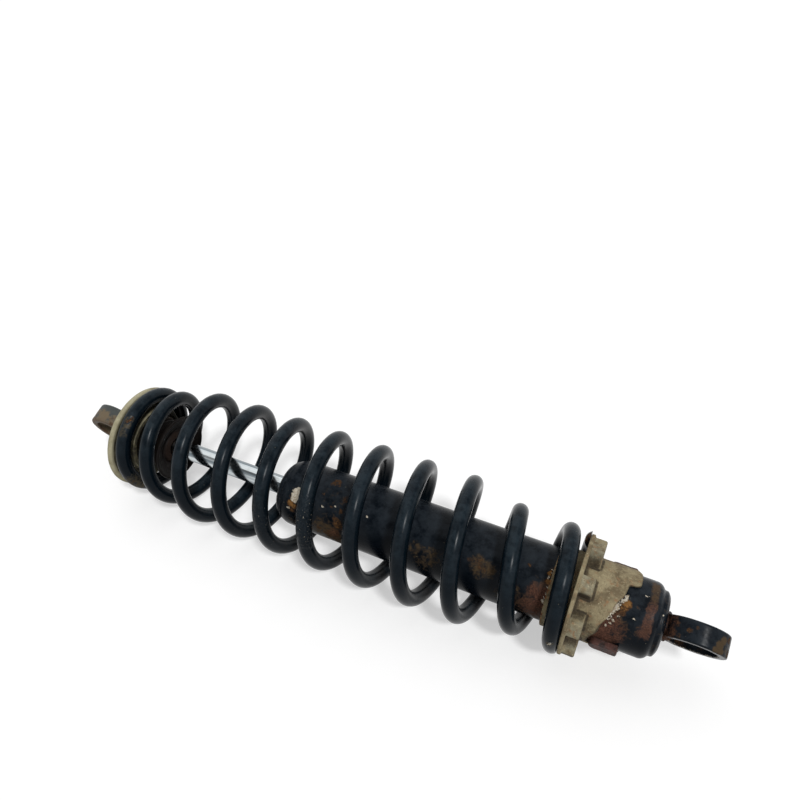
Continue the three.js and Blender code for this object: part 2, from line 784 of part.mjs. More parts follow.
function makeCoilSpring() {
  const stations = springStations();
  const places = [];
  for (const turns of stations) {
    const { centre, out } = springPoint(turns);
    for (let side = 0; side < wireSides; side++) {
      const angle = (2 * Math.PI * side) / wireSides;
      const point = centre.clone().addScaledVector(out, wireRadius * Math.cos(angle));
      point.x += wireRadius * Math.sin(angle);
      places.push(point.x, point.y, point.z);
    }
  }
  const corners = [];
  for (let i = 0; i + 1 < stations.length; i++) {
    for (let side = 0; side < wireSides; side++) {
      const next = (side + 1) % wireSides;
      const [a, b] = [i * wireSides + side, i * wireSides + next];
      const [c, d] = [a + wireSides, b + wireSides];
      corners.push(a, c, b, b, c, d);
    }
  }
  const last = (stations.length - 1) * wireSides;
  for (let side = 1; side + 1 < wireSides; side++) {
    corners.push(0, side, side + 1, last, last + side + 1, last + side);
  }
  const wire = new THREE.BufferGeometry();
  wire.setAttribute('position', new THREE.Float32BufferAttribute(places, 3));
  wire.setIndex(corners);

  // The seats grind the tips flat and the floor flattens the lowest coils.
  const width = roomShare * springRadius;
  const room = new THREE.BoxGeometry(bodySeatPlane - rodSeatPlane, width, width);
  room.translate((bodySeatPlane + rodSeatPlane) / 2, 0, width / 2 - axisHeight);
  return common(wire, room);
}

// Least gap between two turns of the wire, on points along its centre line.
function springSelfGap() {
  const points = [];
  const count = Math.round(springTurns * gapSamplesPerTurn);
  for (let i = 0; i <= count; i++) {
    points.push(springPoint((springTurns * i) / count).centre);
  }
  let least = Infinity;
  for (let i = 0; i < points.length; i++) {
    for (let j = i + gapSamplesPerTurn / 2; j < points.length; j++) {
      least = Math.min(least, points[i].distanceTo(points[j]));
    }
  }
  return least - wireDiameter;
}

// Preload collar

const flangeBack = flangeFaceStation + flangeThickness;

// Angles back from the lug, with the cam's rise above the lug's rest station, over one ramp.
function camOutline() {
  const outline = [];
  const seatWidth = 2 * camSeatHalfAngle;
  const riserAngle = camStepAngle - seatWidth;
  const riserRise = camStepRise - camSeatLowDrop + camSeatHighDrop;
  for (let seat = 0; seat < camSeatCount; seat++) {
    const centre = seat * camStepAngle;
    const level = seat * camStepRise;
    const drop = (camSeatLowDrop + camSeatHighDrop) / 2;
    outline.push([centre - camSeatHalfAngle, level - camSeatLowDrop]);
    outline.push([centre, level - drop]);
    outline.push([centre + camSeatHalfAngle, level - camSeatHighDrop]);
    if (seat === camSeatCount - 1) continue;
    for (let step = 1; step < camRiserSteps; step++) {
      const share = step / camRiserSteps;
      const angle = centre + camSeatHalfAngle + riserAngle * share;
      outline.push([angle, level - camSeatHighDrop + riserRise * share]);
    }
  }
  const tongueAngle = camTongueEndAngle - camTongueStartAngle;
  for (const [angleShare, riseShare] of tongueOutlineShares) {
    outline.push([camTongueStartAngle + tongueAngle * angleShare, camTongueRise * riseShare]);
  }
  return outline;
}

function collarSection(camStation) {
  const skirtEnd = flangeFaceStation - skirtLength;
  const rim = flangeRadius - edgeChamfer;
  const tip = collarRadius - sleeveTaper;
  return [
    [skirtEnd, collarBore], [skirtEnd, collarRadius - edgeChamfer],
    [skirtEnd + edgeChamfer, collarRadius], [flangeFaceStation, collarRadius],
    [flangeFaceStation, rim], [flangeFaceStation + edgeChamfer, flangeRadius],
    [flangeBack - edgeChamfer, flangeRadius], [flangeBack, rim],
    [flangeBack, collarRadius + sleeveTaper], [camStation - edgeChamfer, tip],
    [camStation, tip - edgeChamfer], [camStation, collarBore],
  ];
}

// One spanner lug, standing on the sleeve behind the flange.
function spannerLug() {
  const start = flangeBack - flangeThickness / 2;
  const end = flangeBack + spannerLugLength;
  const half = spannerLugWidth / 2;
  const corner = spannerLugCorner;
  const shape = new THREE.Shape();
  shape.moveTo(start, -half);
  shape.lineTo(end - corner, -half);
  shape.quadraticCurveTo(end, -half, end, corner - half);
  shape.lineTo(end, half - corner);
  shape.quadraticCurveTo(end, half, end - corner, half);
  shape.lineTo(start, half);
  shape.closePath();
  const foot = collarBore + collarWall / 2;
  const lug = new THREE.ExtrudeGeometry(shape, {
    depth: spannerLugRadius - foot,
    bevelEnabled: false,
    curveSegments: cornerSteps,
  });
  lug.translate(0, 0, foot);
  return lug;
}

function makePreloadCollar() {
  const columns = [];
  for (const turn of [0, 180]) {
    for (const [angle, rise] of camOutline()) {
      columns.push([stopLugAngle - turn - angle, stopLugStation + rise]);
    }
  }
  const sections = columns.map(([, station]) => collarSection(station));
  const size = sections[0].length;
  const places = [];
  columns.forEach(([angle], i) => {
    const turn = radians(angle);
    for (const [x, radius] of sections[i]) {
      places.push(x, radius * Math.cos(turn), radius * Math.sin(turn));
    }
  });
  const corners = [];
  for (let i = 0; i < columns.length; i++) {
    const here = i * size;
    const there = ((i + 1) % columns.length) * size;
    for (let k = 0; k < size; k++) {
      const next = (k + 1) % size;
      corners.push(here + k, here + next, there + k, here + next, there + next, there + k);
    }
  }
  const sleeve = new THREE.BufferGeometry();
  sleeve.setAttribute('position', new THREE.Float32BufferAttribute(places, 3));
  sleeve.setIndex(corners);
  const lugs = around(spannerLug(), spannerLugCount, spannerLugAngle - 90);
  return joinAll(sleeve, ...lugs);
}

// Assembly

const shock = new THREE.Group();
shock.position.z = axisHeight;

function addPiece(name, geometry, finish) {
  const mesh = new THREE.Mesh(geometry, new THREE.MeshStandardMaterial(finish));
  mesh.name = name;
  shock.add(mesh);
}

// Damper body
addPiece('outer_tube', makeOuterTube(), blackPaint);
addPiece('base_cap', makeBaseCap(), blackPaint);
addPiece('body_eye', makeBodyEye(), blackPaint);
addPiece('stop_lug_front', makeStopLug(stopLugAngle), rustySteel);
addPiece('stop_lug_rear', makeStopLug(stopLugAngle - 180), rustySteel);
addPiece('inner_cylinder', makeInnerCylinder(), steel);
addPiece('rod_guide', makeRodGuide(), castAluminium);
addPiece('guide_bush', makeGuideBush(), bronze);
addPiece('guide_o_ring', makeGuideRing(), sealRubber);
addPiece('oil_seal', makeOilSeal(), sealRubber);
addPiece('dust_wiper', makeDustWiper(), sealRubber);
addPiece('base_valve_body', makeValveBody(), castAluminium);
addPiece('base_valve_pin', makeValvePin(), steel);
addPiece('base_valve_shims', ring(
  valveShimStart, valveShimStart + valveShimThickness, valvePinBore, valveShimRadius, innerFacets,
), steel);
addPiece('base_valve_nut', hexNut(
  valveFootEnd + clearance, valveNutLength, valveNutRadius, valvePinBore,
), steel);

// Rod and what it carries
addPiece('piston_rod', makePistonRod(), chrome);
addPiece('rebound_stop', makeReboundStop(), sealRubber);
addPiece('rebound_washer', ring(
  washerStart, washerEnd, spigotBoreRadius, reboundWasherRadius, innerFacets,
), steel);
addPiece('compression_shims', ring(
  compressionShimStart, compressionShimEnd, spigotBoreRadius, shimStackRadius, innerFacets,
), steel);
addPiece('piston', makePiston(), steel);
addPiece('piston_band', makePistonBand(), darkPlastic);
addPiece('rebound_shims', ring(
  reboundShimStart, reboundShimEnd, spigotBoreRadius, shimStackRadius, innerFacets,
), steel);
addPiece('piston_nut', hexNut(
  pistonNutStart, pistonNutLength, pistonNutRadius, spigotBoreRadius,
), steel);
addPiece('rod_eye', makeRodEye(), rustySteel);
addPiece('seat_washer', ring(
  seatWasherStart, seatWasherStart + seatWasherThickness, stubRadius + clearance,
  seatWasherRadius, middleFacets,
), steel);
addPiece('rod_spring_seat', makeRodSpringSeat(), beigePlastic);
addPiece('lock_nut', hexNut(lockNutStart, lockNutLength, lockNutRadius, rodBoreRadius), steel);
addPiece('bump_washer', ring(
  bumpWasherStart, bumpWasherStart + bumpWasherThickness, rodBoreRadius,
  bumpWasherRadius, innerFacets,
), steel);
addPiece('bump_stop', makeBumpStop(), dustyRubber);

// Spring and preload collar
addPiece('coil_spring', makeCoilSpring(), bluePaint);
addPiece('preload_collar', makePreloadCollar(), tanCast);

console.log(`coil_spring least gap to itself: ${springSelfGap().toFixed(2)} mm`);

export default shock;
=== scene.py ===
"""Looks of the rear shock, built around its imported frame.

Sizes are in millimetres about the damper's axis: x is a station along the shock, and an angle
about the axis is counted from +Y through +Z. build() turns them into metres in the frame.
"""

import json
import math

import bmesh
import bpy
import numpy as np
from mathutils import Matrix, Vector


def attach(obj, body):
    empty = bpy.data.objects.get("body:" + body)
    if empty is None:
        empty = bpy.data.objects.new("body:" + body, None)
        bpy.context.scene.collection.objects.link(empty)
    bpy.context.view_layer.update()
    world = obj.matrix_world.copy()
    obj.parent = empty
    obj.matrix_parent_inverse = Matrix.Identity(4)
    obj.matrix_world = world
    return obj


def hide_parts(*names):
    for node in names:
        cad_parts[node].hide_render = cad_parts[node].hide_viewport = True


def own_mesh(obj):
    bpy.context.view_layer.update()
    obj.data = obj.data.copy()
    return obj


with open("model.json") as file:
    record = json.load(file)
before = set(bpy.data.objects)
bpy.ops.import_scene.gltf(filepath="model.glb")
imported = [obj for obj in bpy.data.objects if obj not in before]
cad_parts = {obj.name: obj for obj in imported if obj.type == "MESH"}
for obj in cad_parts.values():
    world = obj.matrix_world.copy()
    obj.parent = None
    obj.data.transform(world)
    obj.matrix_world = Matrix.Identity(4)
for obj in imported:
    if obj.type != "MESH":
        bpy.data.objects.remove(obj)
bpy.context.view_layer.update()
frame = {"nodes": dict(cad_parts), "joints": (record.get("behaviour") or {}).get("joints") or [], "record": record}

MM = 0.001
joints = {joint["name"]: joint for joint in frame["joints"]}
AXIS_HEIGHT = round(joints["preload_turn"]["pos_m"][2] / MM, 3)
STATION_ZERO = np.array([1.0, 0.0, AXIS_HEIGHT])
scene = bpy.context.scene


# Steps and noise

HASH_FACTORS = np.array([374761393, 668265263, 2246822519])
SEED_FACTOR = 3266489917
MIX_FACTOR = 1274126177
LOW_32_BITS = 0xFFFFFFFF
LOW_16_BITS = 0xFFFF


def smooth(share):
    """A smooth step from 0 to 1."""
    t = np.clip(share, 0, 1)
    return t * t * (3 - 2 * t)


def rise(value, start, width):
    """0 up to start, and 1 from a width past it."""
    return smooth((value - start) / width)


def fall(value, end, width):
    """1 up to a width before end, and 0 from end on."""
    return smooth((end - value) / width)


def near(value, centre, width, reach):
    """Above 0 within reach widths of centre, and 1 in all but the last width."""
    return smooth(reach - np.abs(value - centre) / width)


def lattice(points, seed):
    """Smooth noise from -1 to 1 on a unit lattice."""
    low = np.floor(points).astype(np.int64)
    part = smooth(points - low)
    total = 0
    for corner in range(8):
        step = np.array([corner & 1, corner >> 1 & 1, corner >> 2 & 1])
        mixed = ((low + step) @ HASH_FACTORS + seed * SEED_FACTOR) & LOW_32_BITS
        mixed = ((mixed ^ (mixed >> 13)) * MIX_FACTOR) & LOW_32_BITS
        value = ((mixed ^ (mixed >> 16)) & LOW_16_BITS) / (LOW_16_BITS / 2) - 1
        total = total + value * np.prod(np.where(step, part, 1 - part), axis=1)
    return total


def grain(points, size, seed, octaves):
    """Noise from about -1 to 1 at points, with features of that size."""
    total, share = 0, 1
    for octave in range(octaves):
        total = total + share * lattice(points / size * 2**octave, seed + octave)
        share *= 0.5
    return total / 1.4


# Shapes, as points in millimetres about the axis and faces between them

SHARP_ANGLE = 35
MERGE_DISTANCE = 0.002
SKIN_VOXEL = 0.28
LUG_VOXEL = 0.25
SOFTEN_ROUNDS = 2


def polar(x, radius, angle):
    """Points at stations, radii and angles about the axis."""
    turn = np.radians(angle)
    return np.stack(np.broadcast_arrays(x, radius * np.cos(turn), radius * np.sin(turn)), -1)


def turned(points, angle):
    """Points turned about the axis."""
    x, y, z = points.T
    turn = math.radians(angle)
    cos, sin = math.cos(turn), math.sin(turn)
    return np.stack([x, y * cos - z * sin, y * sin + z * cos], -1)


def rounded(corners, steps=4):
    """Points round an outline of (x, radius, rounding) corners."""
    places = np.array(corners, float)[:, :2]
    points = []
    for i, (here, (*_, rounding)) in enumerate(zip(places, corners)):
        if not rounding:
            points.append(here)
            continue
        before = places[i - 1] - here
        after = places[(i + 1) % len(places)] - here
        start = here + before / np.linalg.norm(before) * rounding
        end = here + after / np.linalg.norm(after) * rounding
        for side in range(steps + 1):
            t = side / steps
            points.append((1 - t) ** 2 * start + 2 * t * (1 - t) * here + t * t * end)
    return points


def divided(outline, step):
    """The outline with more points on its long runs."""
    points = []
    for i, here in enumerate(outline):
        there = outline[(i + 1) % len(outline)]
        count = max(1, int(np.linalg.norm(there - here) / step))
        points += [here + (there - here) * k / count for k in range(count)]
    return points


def swept(rings, closed):
    """Rings joined one to the next: into a loop, or else with capped ends."""
    count, size = len(rings), len(rings[0])
    faces = []
    for i in range(count if closed else count - 1):
        here, there = i * size, (i + 1) % count * size
        for k in range(size):
            n = (k + 1) % size
            faces.append((here + k, here + n, there + n, there + k))
    if not closed:
        faces.append(tuple(range(size)))
        faces.append(tuple(range((count - 1) * size, count * size)))
    return np.concatenate(rings), faces


def lathe(corners, step, segments, rounding_steps=4):
    """A closed outline of (x, radius, rounding) corners, turned about the axis."""
    outline = np.array(divided(rounded(corners, rounding_steps), step))
    angles = np.arange(segments) * 360 / segments
    return swept([polar(outline[:, 0], outline[:, 1], angle) for angle in angles], True)


def block(low, high, bevel):
    """A box with rounded edges."""
    bm = bmesh.new()
    bmesh.ops.create_cube(bm, size=1)
    low, high = np.array(low, float), np.array(high, float)
    for vert in bm.verts:
        vert.co = Vector((low + high) / 2 + np.array(vert.co) * (high - low))
    bmesh.ops.bevel(bm, geom=bm.edges[:], offset=bevel, segments=3, profile=0.5, affect="EDGES")
    bm.verts.index_update()
    points = np.array([v.co for v in bm.verts])
    faces = [tuple(v.index for v in f.verts) for f in bm.faces]
    bm.free()
    return points, faces


def together(*parts):
    """Several shapes as one."""
    points, faces, first = [], [], 0
    for part_points, part_faces in parts:
        points.append(part_points)
        faces.extend(tuple(i + first for i in face) for face in part_faces)
        first += len(part_points)
    return np.concatenate(points), faces


def shown(name, data):
    """A new object in the scene."""
    obj = bpy.data.objects.new(name, data)
    scene.collection.objects.link(obj)
    return obj


def build(name, shape):
    """An object from a shape."""
    points, faces = shape
    mesh = bpy.data.meshes.new(name)
    mesh.from_pydata(((points + STATION_ZERO) * MM).tolist(), [], faces)
    bm = bmesh.new()
    bm.from_mesh(mesh)
    bmesh.ops.remove_doubles(bm, verts=bm.verts, dist=MERGE_DISTANCE * MM)
    bmesh.ops.recalc_face_normals(bm, faces=bm.faces)
    bm.to_mesh(mesh)
    bm.free()
    mesh.shade_smooth()
    mesh.set_sharp_from_angle(angle=math.radians(SHARP_ANGLE))
    return shown(name, mesh)


def fuse(obj, voxel):
    """Joins the object's overlapping shells into one skin with soft inner corners."""
    remesh = obj.modifiers.new("skin", "REMESH")
    remesh.mode = "VOXEL"
    remesh.voxel_size = voxel * MM
    remesh.use_smooth_shade = True
    soften = obj.modifiers.new("soften", "SMOOTH")
    soften.factor = 0.5
    soften.iterations = SOFTEN_ROUNDS
    depsgraph = bpy.context.evaluated_depsgraph_get()
    mesh = bpy.data.meshes.new_from_object(obj.evaluated_get(depsgraph))
    obj.modifiers.clear()
    obj.data = mesh
    mesh.shade_smooth()
    return obj


def stored(obj, name):
    """The places or normals of the object's points, as Blender stores them."""
    values = np.zeros(len(obj.data.vertices) * 3)
    obj.data.vertices.foreach_get(name, values)
    return values.reshape(-1, 3)


def points_of(obj):
    """The object's points in millimetres, with their stations, radii and angles."""
    points = stored(obj, "co") / MM - STATION_ZERO
    x, y, z = points.T
    return points, x, np.hypot(y, z), np.degrees(np.arctan2(z, y)) % 360


def push(obj, amounts):
    """Moves the object's points along their normals by amounts in millimetres."""
    moved = stored(obj, "co") + stored(obj, "normal") * amounts[:, None] * MM
    obj.data.vertices.foreach_set("co", moved.ravel())
    obj.data.update()


# Wear

RUST, BARE, DUST, TINT = range(4)
MOST_WEAR = 1.5
SPOT_REACH = 1.5


def mark(obj, rust=0.0, bare=0.0, dust=0.0, tint=0.0):
    """Stores how far each point is rusted, bare, dusty and tinted, for the materials; on the collar and the spring
    seat the dust share also carries painted shade, and a few bare spots are painted glints.
    """
    count = len(obj.data.vertices)
    values = np.stack([np.broadcast_to(v, count) for v in (rust, bare, dust, tint)], -1)
    layer = obj.data.attributes.new("wear", "FLOAT_COLOR", "POINT")
    layer.data.foreach_set("color", np.clip(values, 0, MOST_WEAR).astype(np.float32).ravel())


def spots(points, places):
    """The strongest of round spots at points: places are (x, y, z, radius, strength)."""
    total = np.zeros(len(points))
    for x, y, z, radius, strength in places:
        away = np.linalg.norm(points - (x, y, z), axis=1)
        total = np.maximum(total, strength * smooth(SPOT_REACH - away / radius))
    return total


def on_round(surface, places):
    """Spots given as (x, angle, radius, strength), on a surface so far from the axis."""
    return [
        (*polar(x, surface, angle), radius, strength) for x, angle, radius, strength in places
    ]


def settle(obj, body, slot, node, finish=None):
    """Gives a piece its body and its finish, and hides the CAD node that it stands for."""
    obj.data.materials.append(finish or FINISHES[slot])
    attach(obj, body)
    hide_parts(node)


def turned_piece(name, body, slot, node, corners, step, segments, rounding_steps=4, finish=None):
    """A piece turned about the axis, which stands for a CAD node."""
    obj = build(name, lathe(corners, step, segments, rounding_steps))
    settle(obj, body, slot, node, finish)
    return obj


# Material nodes


def tone(red, green, blue):
    """A colour given as it shows on a screen, 0 to 255."""
    shares = [c / 255 for c in (red, green, blue)]
    return tuple(
        c / 12.92 if c <= 0.04045 else ((c + 0.055) / 1.055) ** 2.4 for c in shares
    ) + (1.0,)


class Tree:
    """A tree of nodes, built a node at a time."""

    def __init__(self, owner):
        owner.use_nodes = True
        self.nodes = owner.node_tree.nodes
        self.links = owner.node_tree.links

    def link(self, value, socket):
        """Feeds a socket from another socket, or with a number or colour."""
        if isinstance(value, bpy.types.NodeSocket):
            self.links.new(value, socket)
        else:
            socket.default_value = value

    def node(self, kind, inputs=(), **settings):
        """A new shader node of a kind, with its settings and inputs."""
        made = self.nodes.new("ShaderNode" + kind)
        for key, value in settings.items():
            setattr(made, key, value)
        for key, value in dict(inputs).items():
            self.link(value, made.inputs[key])
        return made

    def math(self, operation, a, b):
        return self.node("Math", {0: a, 1: b}, operation=operation).outputs[0]

    def times(self, a, b):
        return self.math("MULTIPLY", a, b)

    def span(self, value, low, high, to_low=0.0, to_high=1.0):
        """A smooth step from to_low at low to to_high at high."""
        inputs = dict(enumerate((value, low, high, to_low, to_high)))
        return self.node("MapRange", inputs, interpolation_type="SMOOTHSTEP").outputs[0]

    def mix(self, share, a, b):
        """A colour between a and b. The node's colours are its inputs 6 and 7, and output 2."""
        return self.node("Mix", {0: share, 6: a, 7: b}, data_type="RGBA").outputs[2]

    def blend(self, share, a, b):
        """A number between a and b."""
        return self.node("Mix", {0: share, 2: a, 3: b}).outputs[0]


class Finish(Tree):
    """A material of one surface, with stored wear. Sizes are in millimetres."""

    def __init__(self, name, specular=0.5, metallic=0.0):
        self.material = bpy.data.materials.new(name)
        super().__init__(self.material)
        self.surface = self.nodes["Principled BSDF"].inputs
        self.link(metallic, self.surface["Metallic"])
        self.link(specular, self.surface["Specular IOR Level"])
        self.place = self.node("TexCoord").outputs["Object"]
        self.marks = None

    def noise(self, size, detail=4, rough=0.55, warp=0.0, stretch=None, offset=0.0):
        """Noise from 0 to 1, with features of that size."""
        place = self.place
        if stretch or offset:
            moved = {"Vector": place, "Scale": stretch or (1, 1, 1), "Location": (offset,) * 3}
            place = self.node("Mapping", moved).outputs["Vector"]
        return self.node("TexNoise", {
            "Vector": place, "Scale": 1 / (size * MM), "Detail": detail, "Roughness": rough,
            "Distortion": warp,
        }).outputs["Fac"]

    def cells(self, size):
        """How far a point is from the middle of its cell."""
        inputs = {"Vector": self.place, "Scale": 1 / (size * MM)}
        return self.node("TexVoronoi", inputs).outputs["Distance"]

    def wear(self, channel):
        """A share stored by mark(): RUST, BARE, DUST or TINT."""
        if self.marks is None:
            read = self.node("Attribute", attribute_name="wear")
            split = self.node("SeparateColor", {"Color": read.outputs["Color"]})
            self.marks = list(split.outputs) + [read.outputs["Alpha"]]
        return self.marks[channel]

    def eaten(self, share, size, spread, low, high, offset=0.0):
        """A stored share of wear, broken up by noise into patches."""
        uneven = self.math("SUBTRACT", self.noise(size, 7, 0.7, 0.5, offset=offset), 0.5)
        return self.span(self.math("ADD", share, self.times(uneven, spread)), low, high)

    def upward(self, low, high):
        """How far the surface faces up."""
        normal = self.node("NewGeometry").outputs["Normal"]
        split = self.node("SeparateXYZ", {0: normal})
        return self.span(split.outputs["Z"], low, high)

    def bumps(self, *layers):
        """Stacks bumps, each a height and its depth in millimetres."""
        below = {}
        for height, depth in layers:
            inputs = {"Distance": depth * MM, "Height": height, **below}
            below = {"Normal": self.node("Bump", inputs).outputs["Normal"]}
        self.link(below["Normal"], self.surface["Normal"])

    def done(self, colour, roughness):
        """The material with its colour and roughness."""
        self.link(colour, self.surface["Base Color"])
        self.link(roughness, self.surface["Roughness"])
        return self.material


# Materials


def rust_colour(f, fine):
    """Brown rust, ochre where it is thickest, or red by its tint."""
    deep = f.mix(f.span(fine, 0.3, 0.66), tone(30, 23, 19), tone(84, 60, 40))
    ochre = f.mix(fine, tone(98, 70, 40), tone(156, 112, 64))
    brown = f.mix(f.eaten(f.wear(RUST), 1.1, 1.6, 0.8, 1.15, 0.3), deep, ochre)
    red = f.mix(f.span(fine, 0.3, 0.7), tone(46, 32, 28), tone(108, 74, 60))
    return f.mix(f.wear(TINT), brown, red)


def painted(name, dark, light, gloss, specular, dust_tone, bare_tone, dust_and_sheen_tone, dust_and_sheen_share):
    """Dark paint that has rusted through in places, with chips, dust and stains, and a paler tone on faces turned
    up that is partly dust and partly painted sheen.
    """
    f = Finish(name, specular)
    fine = f.noise(0.6, 6, 0.65)
    broad = f.noise(7, 4)
    rust = f.eaten(f.wear(RUST), 2.4, 1.5, 0.42, 0.82)
    # The bare share shows pale scraped metal; on the spring's blisters and at one spot on the tube it is a painted
    # glint, and on the body eye's bore edge partly a painted highlight.
    bare = f.eaten(f.wear(BARE), 1.2, 2.4, 0.5, 0.6, 0.4)
    dust = f.eaten(f.wear(DUST), 2.0, 1.9, 0.42, 0.98, 0.8)
    # Faces turned even slightly up are paler: partly settled dust, partly a painted sheen that lights the tops and
    # leaves the lower edges dark.
    settled = f.times(f.upward(0.05, 1.0), f.span(f.noise(6, 7, 0.7), 0.3, 0.66))
    speck = f.times(f.span(f.cells(3.2), 0.1, 0.05), f.span(f.noise(5, 2, offset=0.1), 0.56, 0.6))
    red_stain = f.mix(f.span(fine, 0.3, 0.7), tone(66, 46, 36), tone(104, 72, 58))
    scraped = f.mix(f.span(fine, 0.35, 0.6), bare_tone, tone(206, 200, 186))
    colour = f.mix(broad, dark, light)
    for share, above in (
        (f.times(settled, dust_and_sheen_share), dust_and_sheen_tone),
        (f.times(dust, 0.78), f.mix(f.wear(TINT), dust_tone, red_stain)),
        (f.times(speck, 0.6), tone(104, 98, 84)),
        (rust, rust_colour(f, fine)),
        (bare, scraped),
    ):
        colour = f.mix(share, colour, above)
    rough = f.blend(broad, gloss, gloss + 0.08)
    for share, above in ((dust, 0.7), (settled, gloss + 0.12), (rust, 0.85), (bare, 0.45)):
        rough = f.blend(share, rough, above)
    blister = f.times(f.span(f.wear(BARE), 0.02, 0.24), f.span(f.noise(1.4, 3), 0.35, 0.7))
    f.bumps(
        (f.noise(2.6, 3), 0.03),
        (f.times(rust, f.math("ADD", 0.5, fine)), 0.07),
        (f.math("SUBTRACT", 1.0, bare), 0.1),
        (blister, 0.3),
    )
    return f.done(colour, rough)


def rusted(name, dark, mid, bright, depth):
    """Bare steel under a scale of rust."""
    f = Finish(name, 0.35)
    broad = f.noise(3.2, 6, 0.65, 0.5)
    fine = f.noise(0.7, 5, 0.6)
    colour = f.mix(f.span(broad, 0.35, 0.6), dark, mid)
    colour = f.mix(f.span(fine, 0.58, 0.75), colour, bright)
    f.bumps((fine, depth / 2), (broad, depth))
    return f.done(colour, f.blend(fine, 0.55, 0.75))


def metal(name, colour, roughness, mark_size, depth):
    """Machined metal with fine turning marks."""
    f = Finish(name, metallic=1.0)
    marks = f.noise(mark_size, 3, 0.5, stretch=(6, 1, 1))
    dim = tuple(c * 0.82 for c in colour[:3]) + (1.0,)
    f.bumps((marks, depth))
    return f.done(f.mix(marks, dim, colour), f.blend(f.noise(4, 4), roughness, roughness * 1.5))


def matte(name, colour, light, roughness):
    """Plastic or rubber with a slight grain."""
    f = Finish(name, 0.3)
    broad = f.noise(2, 5, 0.6)
    f.bumps((f.noise(0.5, 3), 0.05))
    colour = f.mix(f.span(broad, 0.3, 0.7), colour, light)
    return f.done(colour, f.blend(broad, roughness, roughness + 0.1))


def chromed():
    """Hard chrome, darker and duller in long bands along the rod; the darker colour is a painted reflection, with
    a dull film over it in patches.
    """
    f = Finish("chrome_rod_bright", metallic=1.0)
    # Long bands along the rod: their darker colour is a painted reflection.
    painted_reflection_bands = f.noise(2.4, 2, 0.5, stretch=(0.02, 1, 1))
    colour = f.mix(f.span(painted_reflection_bands, 0.36, 0.62), tone(112, 122, 128), tone(204, 210, 212))
    film = f.span(f.noise(5, 5, 0.6), 0.5, 0.8)
    colour = f.mix(f.times(film, 0.4), colour, tone(120, 122, 118))
    return f.done(colour, f.blend(painted_reflection_bands, 0.16, 0.06))


def moulded():
    """Moulded beige plastic, greyed with dust, and dark brown inside its rim from soiling and painted shade."""
    f = Finish("seat_plastic_aged", 0.3)
    plastic = f.span(f.noise(9, 5, 0.6), 0.35, 0.65)
    colour = f.mix(plastic, tone(146, 139, 112), tone(172, 166, 138))
    colour = f.mix(f.span(f.noise(1.6, 6, 0.7), 0.6, 0.85), colour, tone(104, 92, 70))
    # The dark tone inside the rim and on the hub's end is soiling and painted shade.
    grime_and_shade = f.mix(f.span(f.noise(2.5, 6, 0.7), 0.35, 0.7), tone(34, 31, 27), tone(96, 90, 68))
    colour = f.mix(f.span(f.wear(DUST), 0.3, 0.75), colour, grime_and_shade)
    f.bumps((f.noise(0.8, 4), 0.05))
    return f.done(colour, f.blend(f.noise(4, 4), 0.6, 0.78))


def dusty_rubber():
    """Old rubber: near black where it is worn, brown where dust has settled."""
    f = Finish("dusty_rubber_aged", 0.08)
    settled = f.eaten(f.wear(DUST), 2.2, 0.9, 0.35, 1.0)
    colour = f.mix(f.noise(5, 4), tone(16, 14, 14), tone(30, 25, 22))
    colour = f.mix(settled, colour, tone(48, 36, 30))
    f.bumps((f.noise(0.6, 5), 0.06), (settled, 0.03))
    return f.done(colour, f.blend(settled, 0.45, 0.85))


def collar_cast():
    """Cast metal under a tan grimy coat, with chips, orange stains, and its corners, undersides, bore and lower
    side darkened by painted shade.
    """
    f = Finish("collar_cast_grimy_shaded", 0.3)
    broad = f.noise(8, 6, 0.65, 0.3)
    fine = f.noise(0.9, 7, 0.7)
    pale = f.eaten(f.wear(BARE), 1.1, 1.2, 0.52, 0.66, 0.6)
    greyed = f.times(f.wear(TINT), f.span(f.noise(4, 5), 0.35, 0.6))
    # This dark share is painted shade, partly soiling.
    dirt_and_shade = f.eaten(f.wear(DUST), 1.6, 0.9, 0.35, 1.0)
    rust = f.mix(f.span(fine, 0.4, 0.6), tone(84, 54, 34), tone(158, 108, 60))
    colour = f.mix(f.span(broad, 0.36, 0.62), tone(104, 91, 68), tone(150, 138, 108))
    for share, above in (
        (greyed, f.mix(fine, tone(112, 110, 92), tone(160, 156, 134))),
        (f.span(f.noise(2.6, 6, 0.65, offset=0.2), 0.54, 0.7), tone(138, 108, 78)),
        (f.span(fine, 0.54, 0.72), tone(182, 170, 138)),
        (f.span(f.noise(0.7, 6, 0.7, offset=0.5), 0.56, 0.7), tone(74, 63, 46)),
        (f.times(dirt_and_shade, 0.9), tone(46, 38, 28)),
        (f.eaten(f.wear(RUST), 1.6, 1.4, 0.48, 0.66), rust),
        (pale, tone(206, 198, 178)),
    ):
        colour = f.mix(share, colour, above)
    f.bumps((f.noise(0.5, 4), 0.05), (fine, 0.1), (broad, 0.12), (pale, 0.12))
    return f.done(colour, f.blend(fine, 0.66, 0.92))


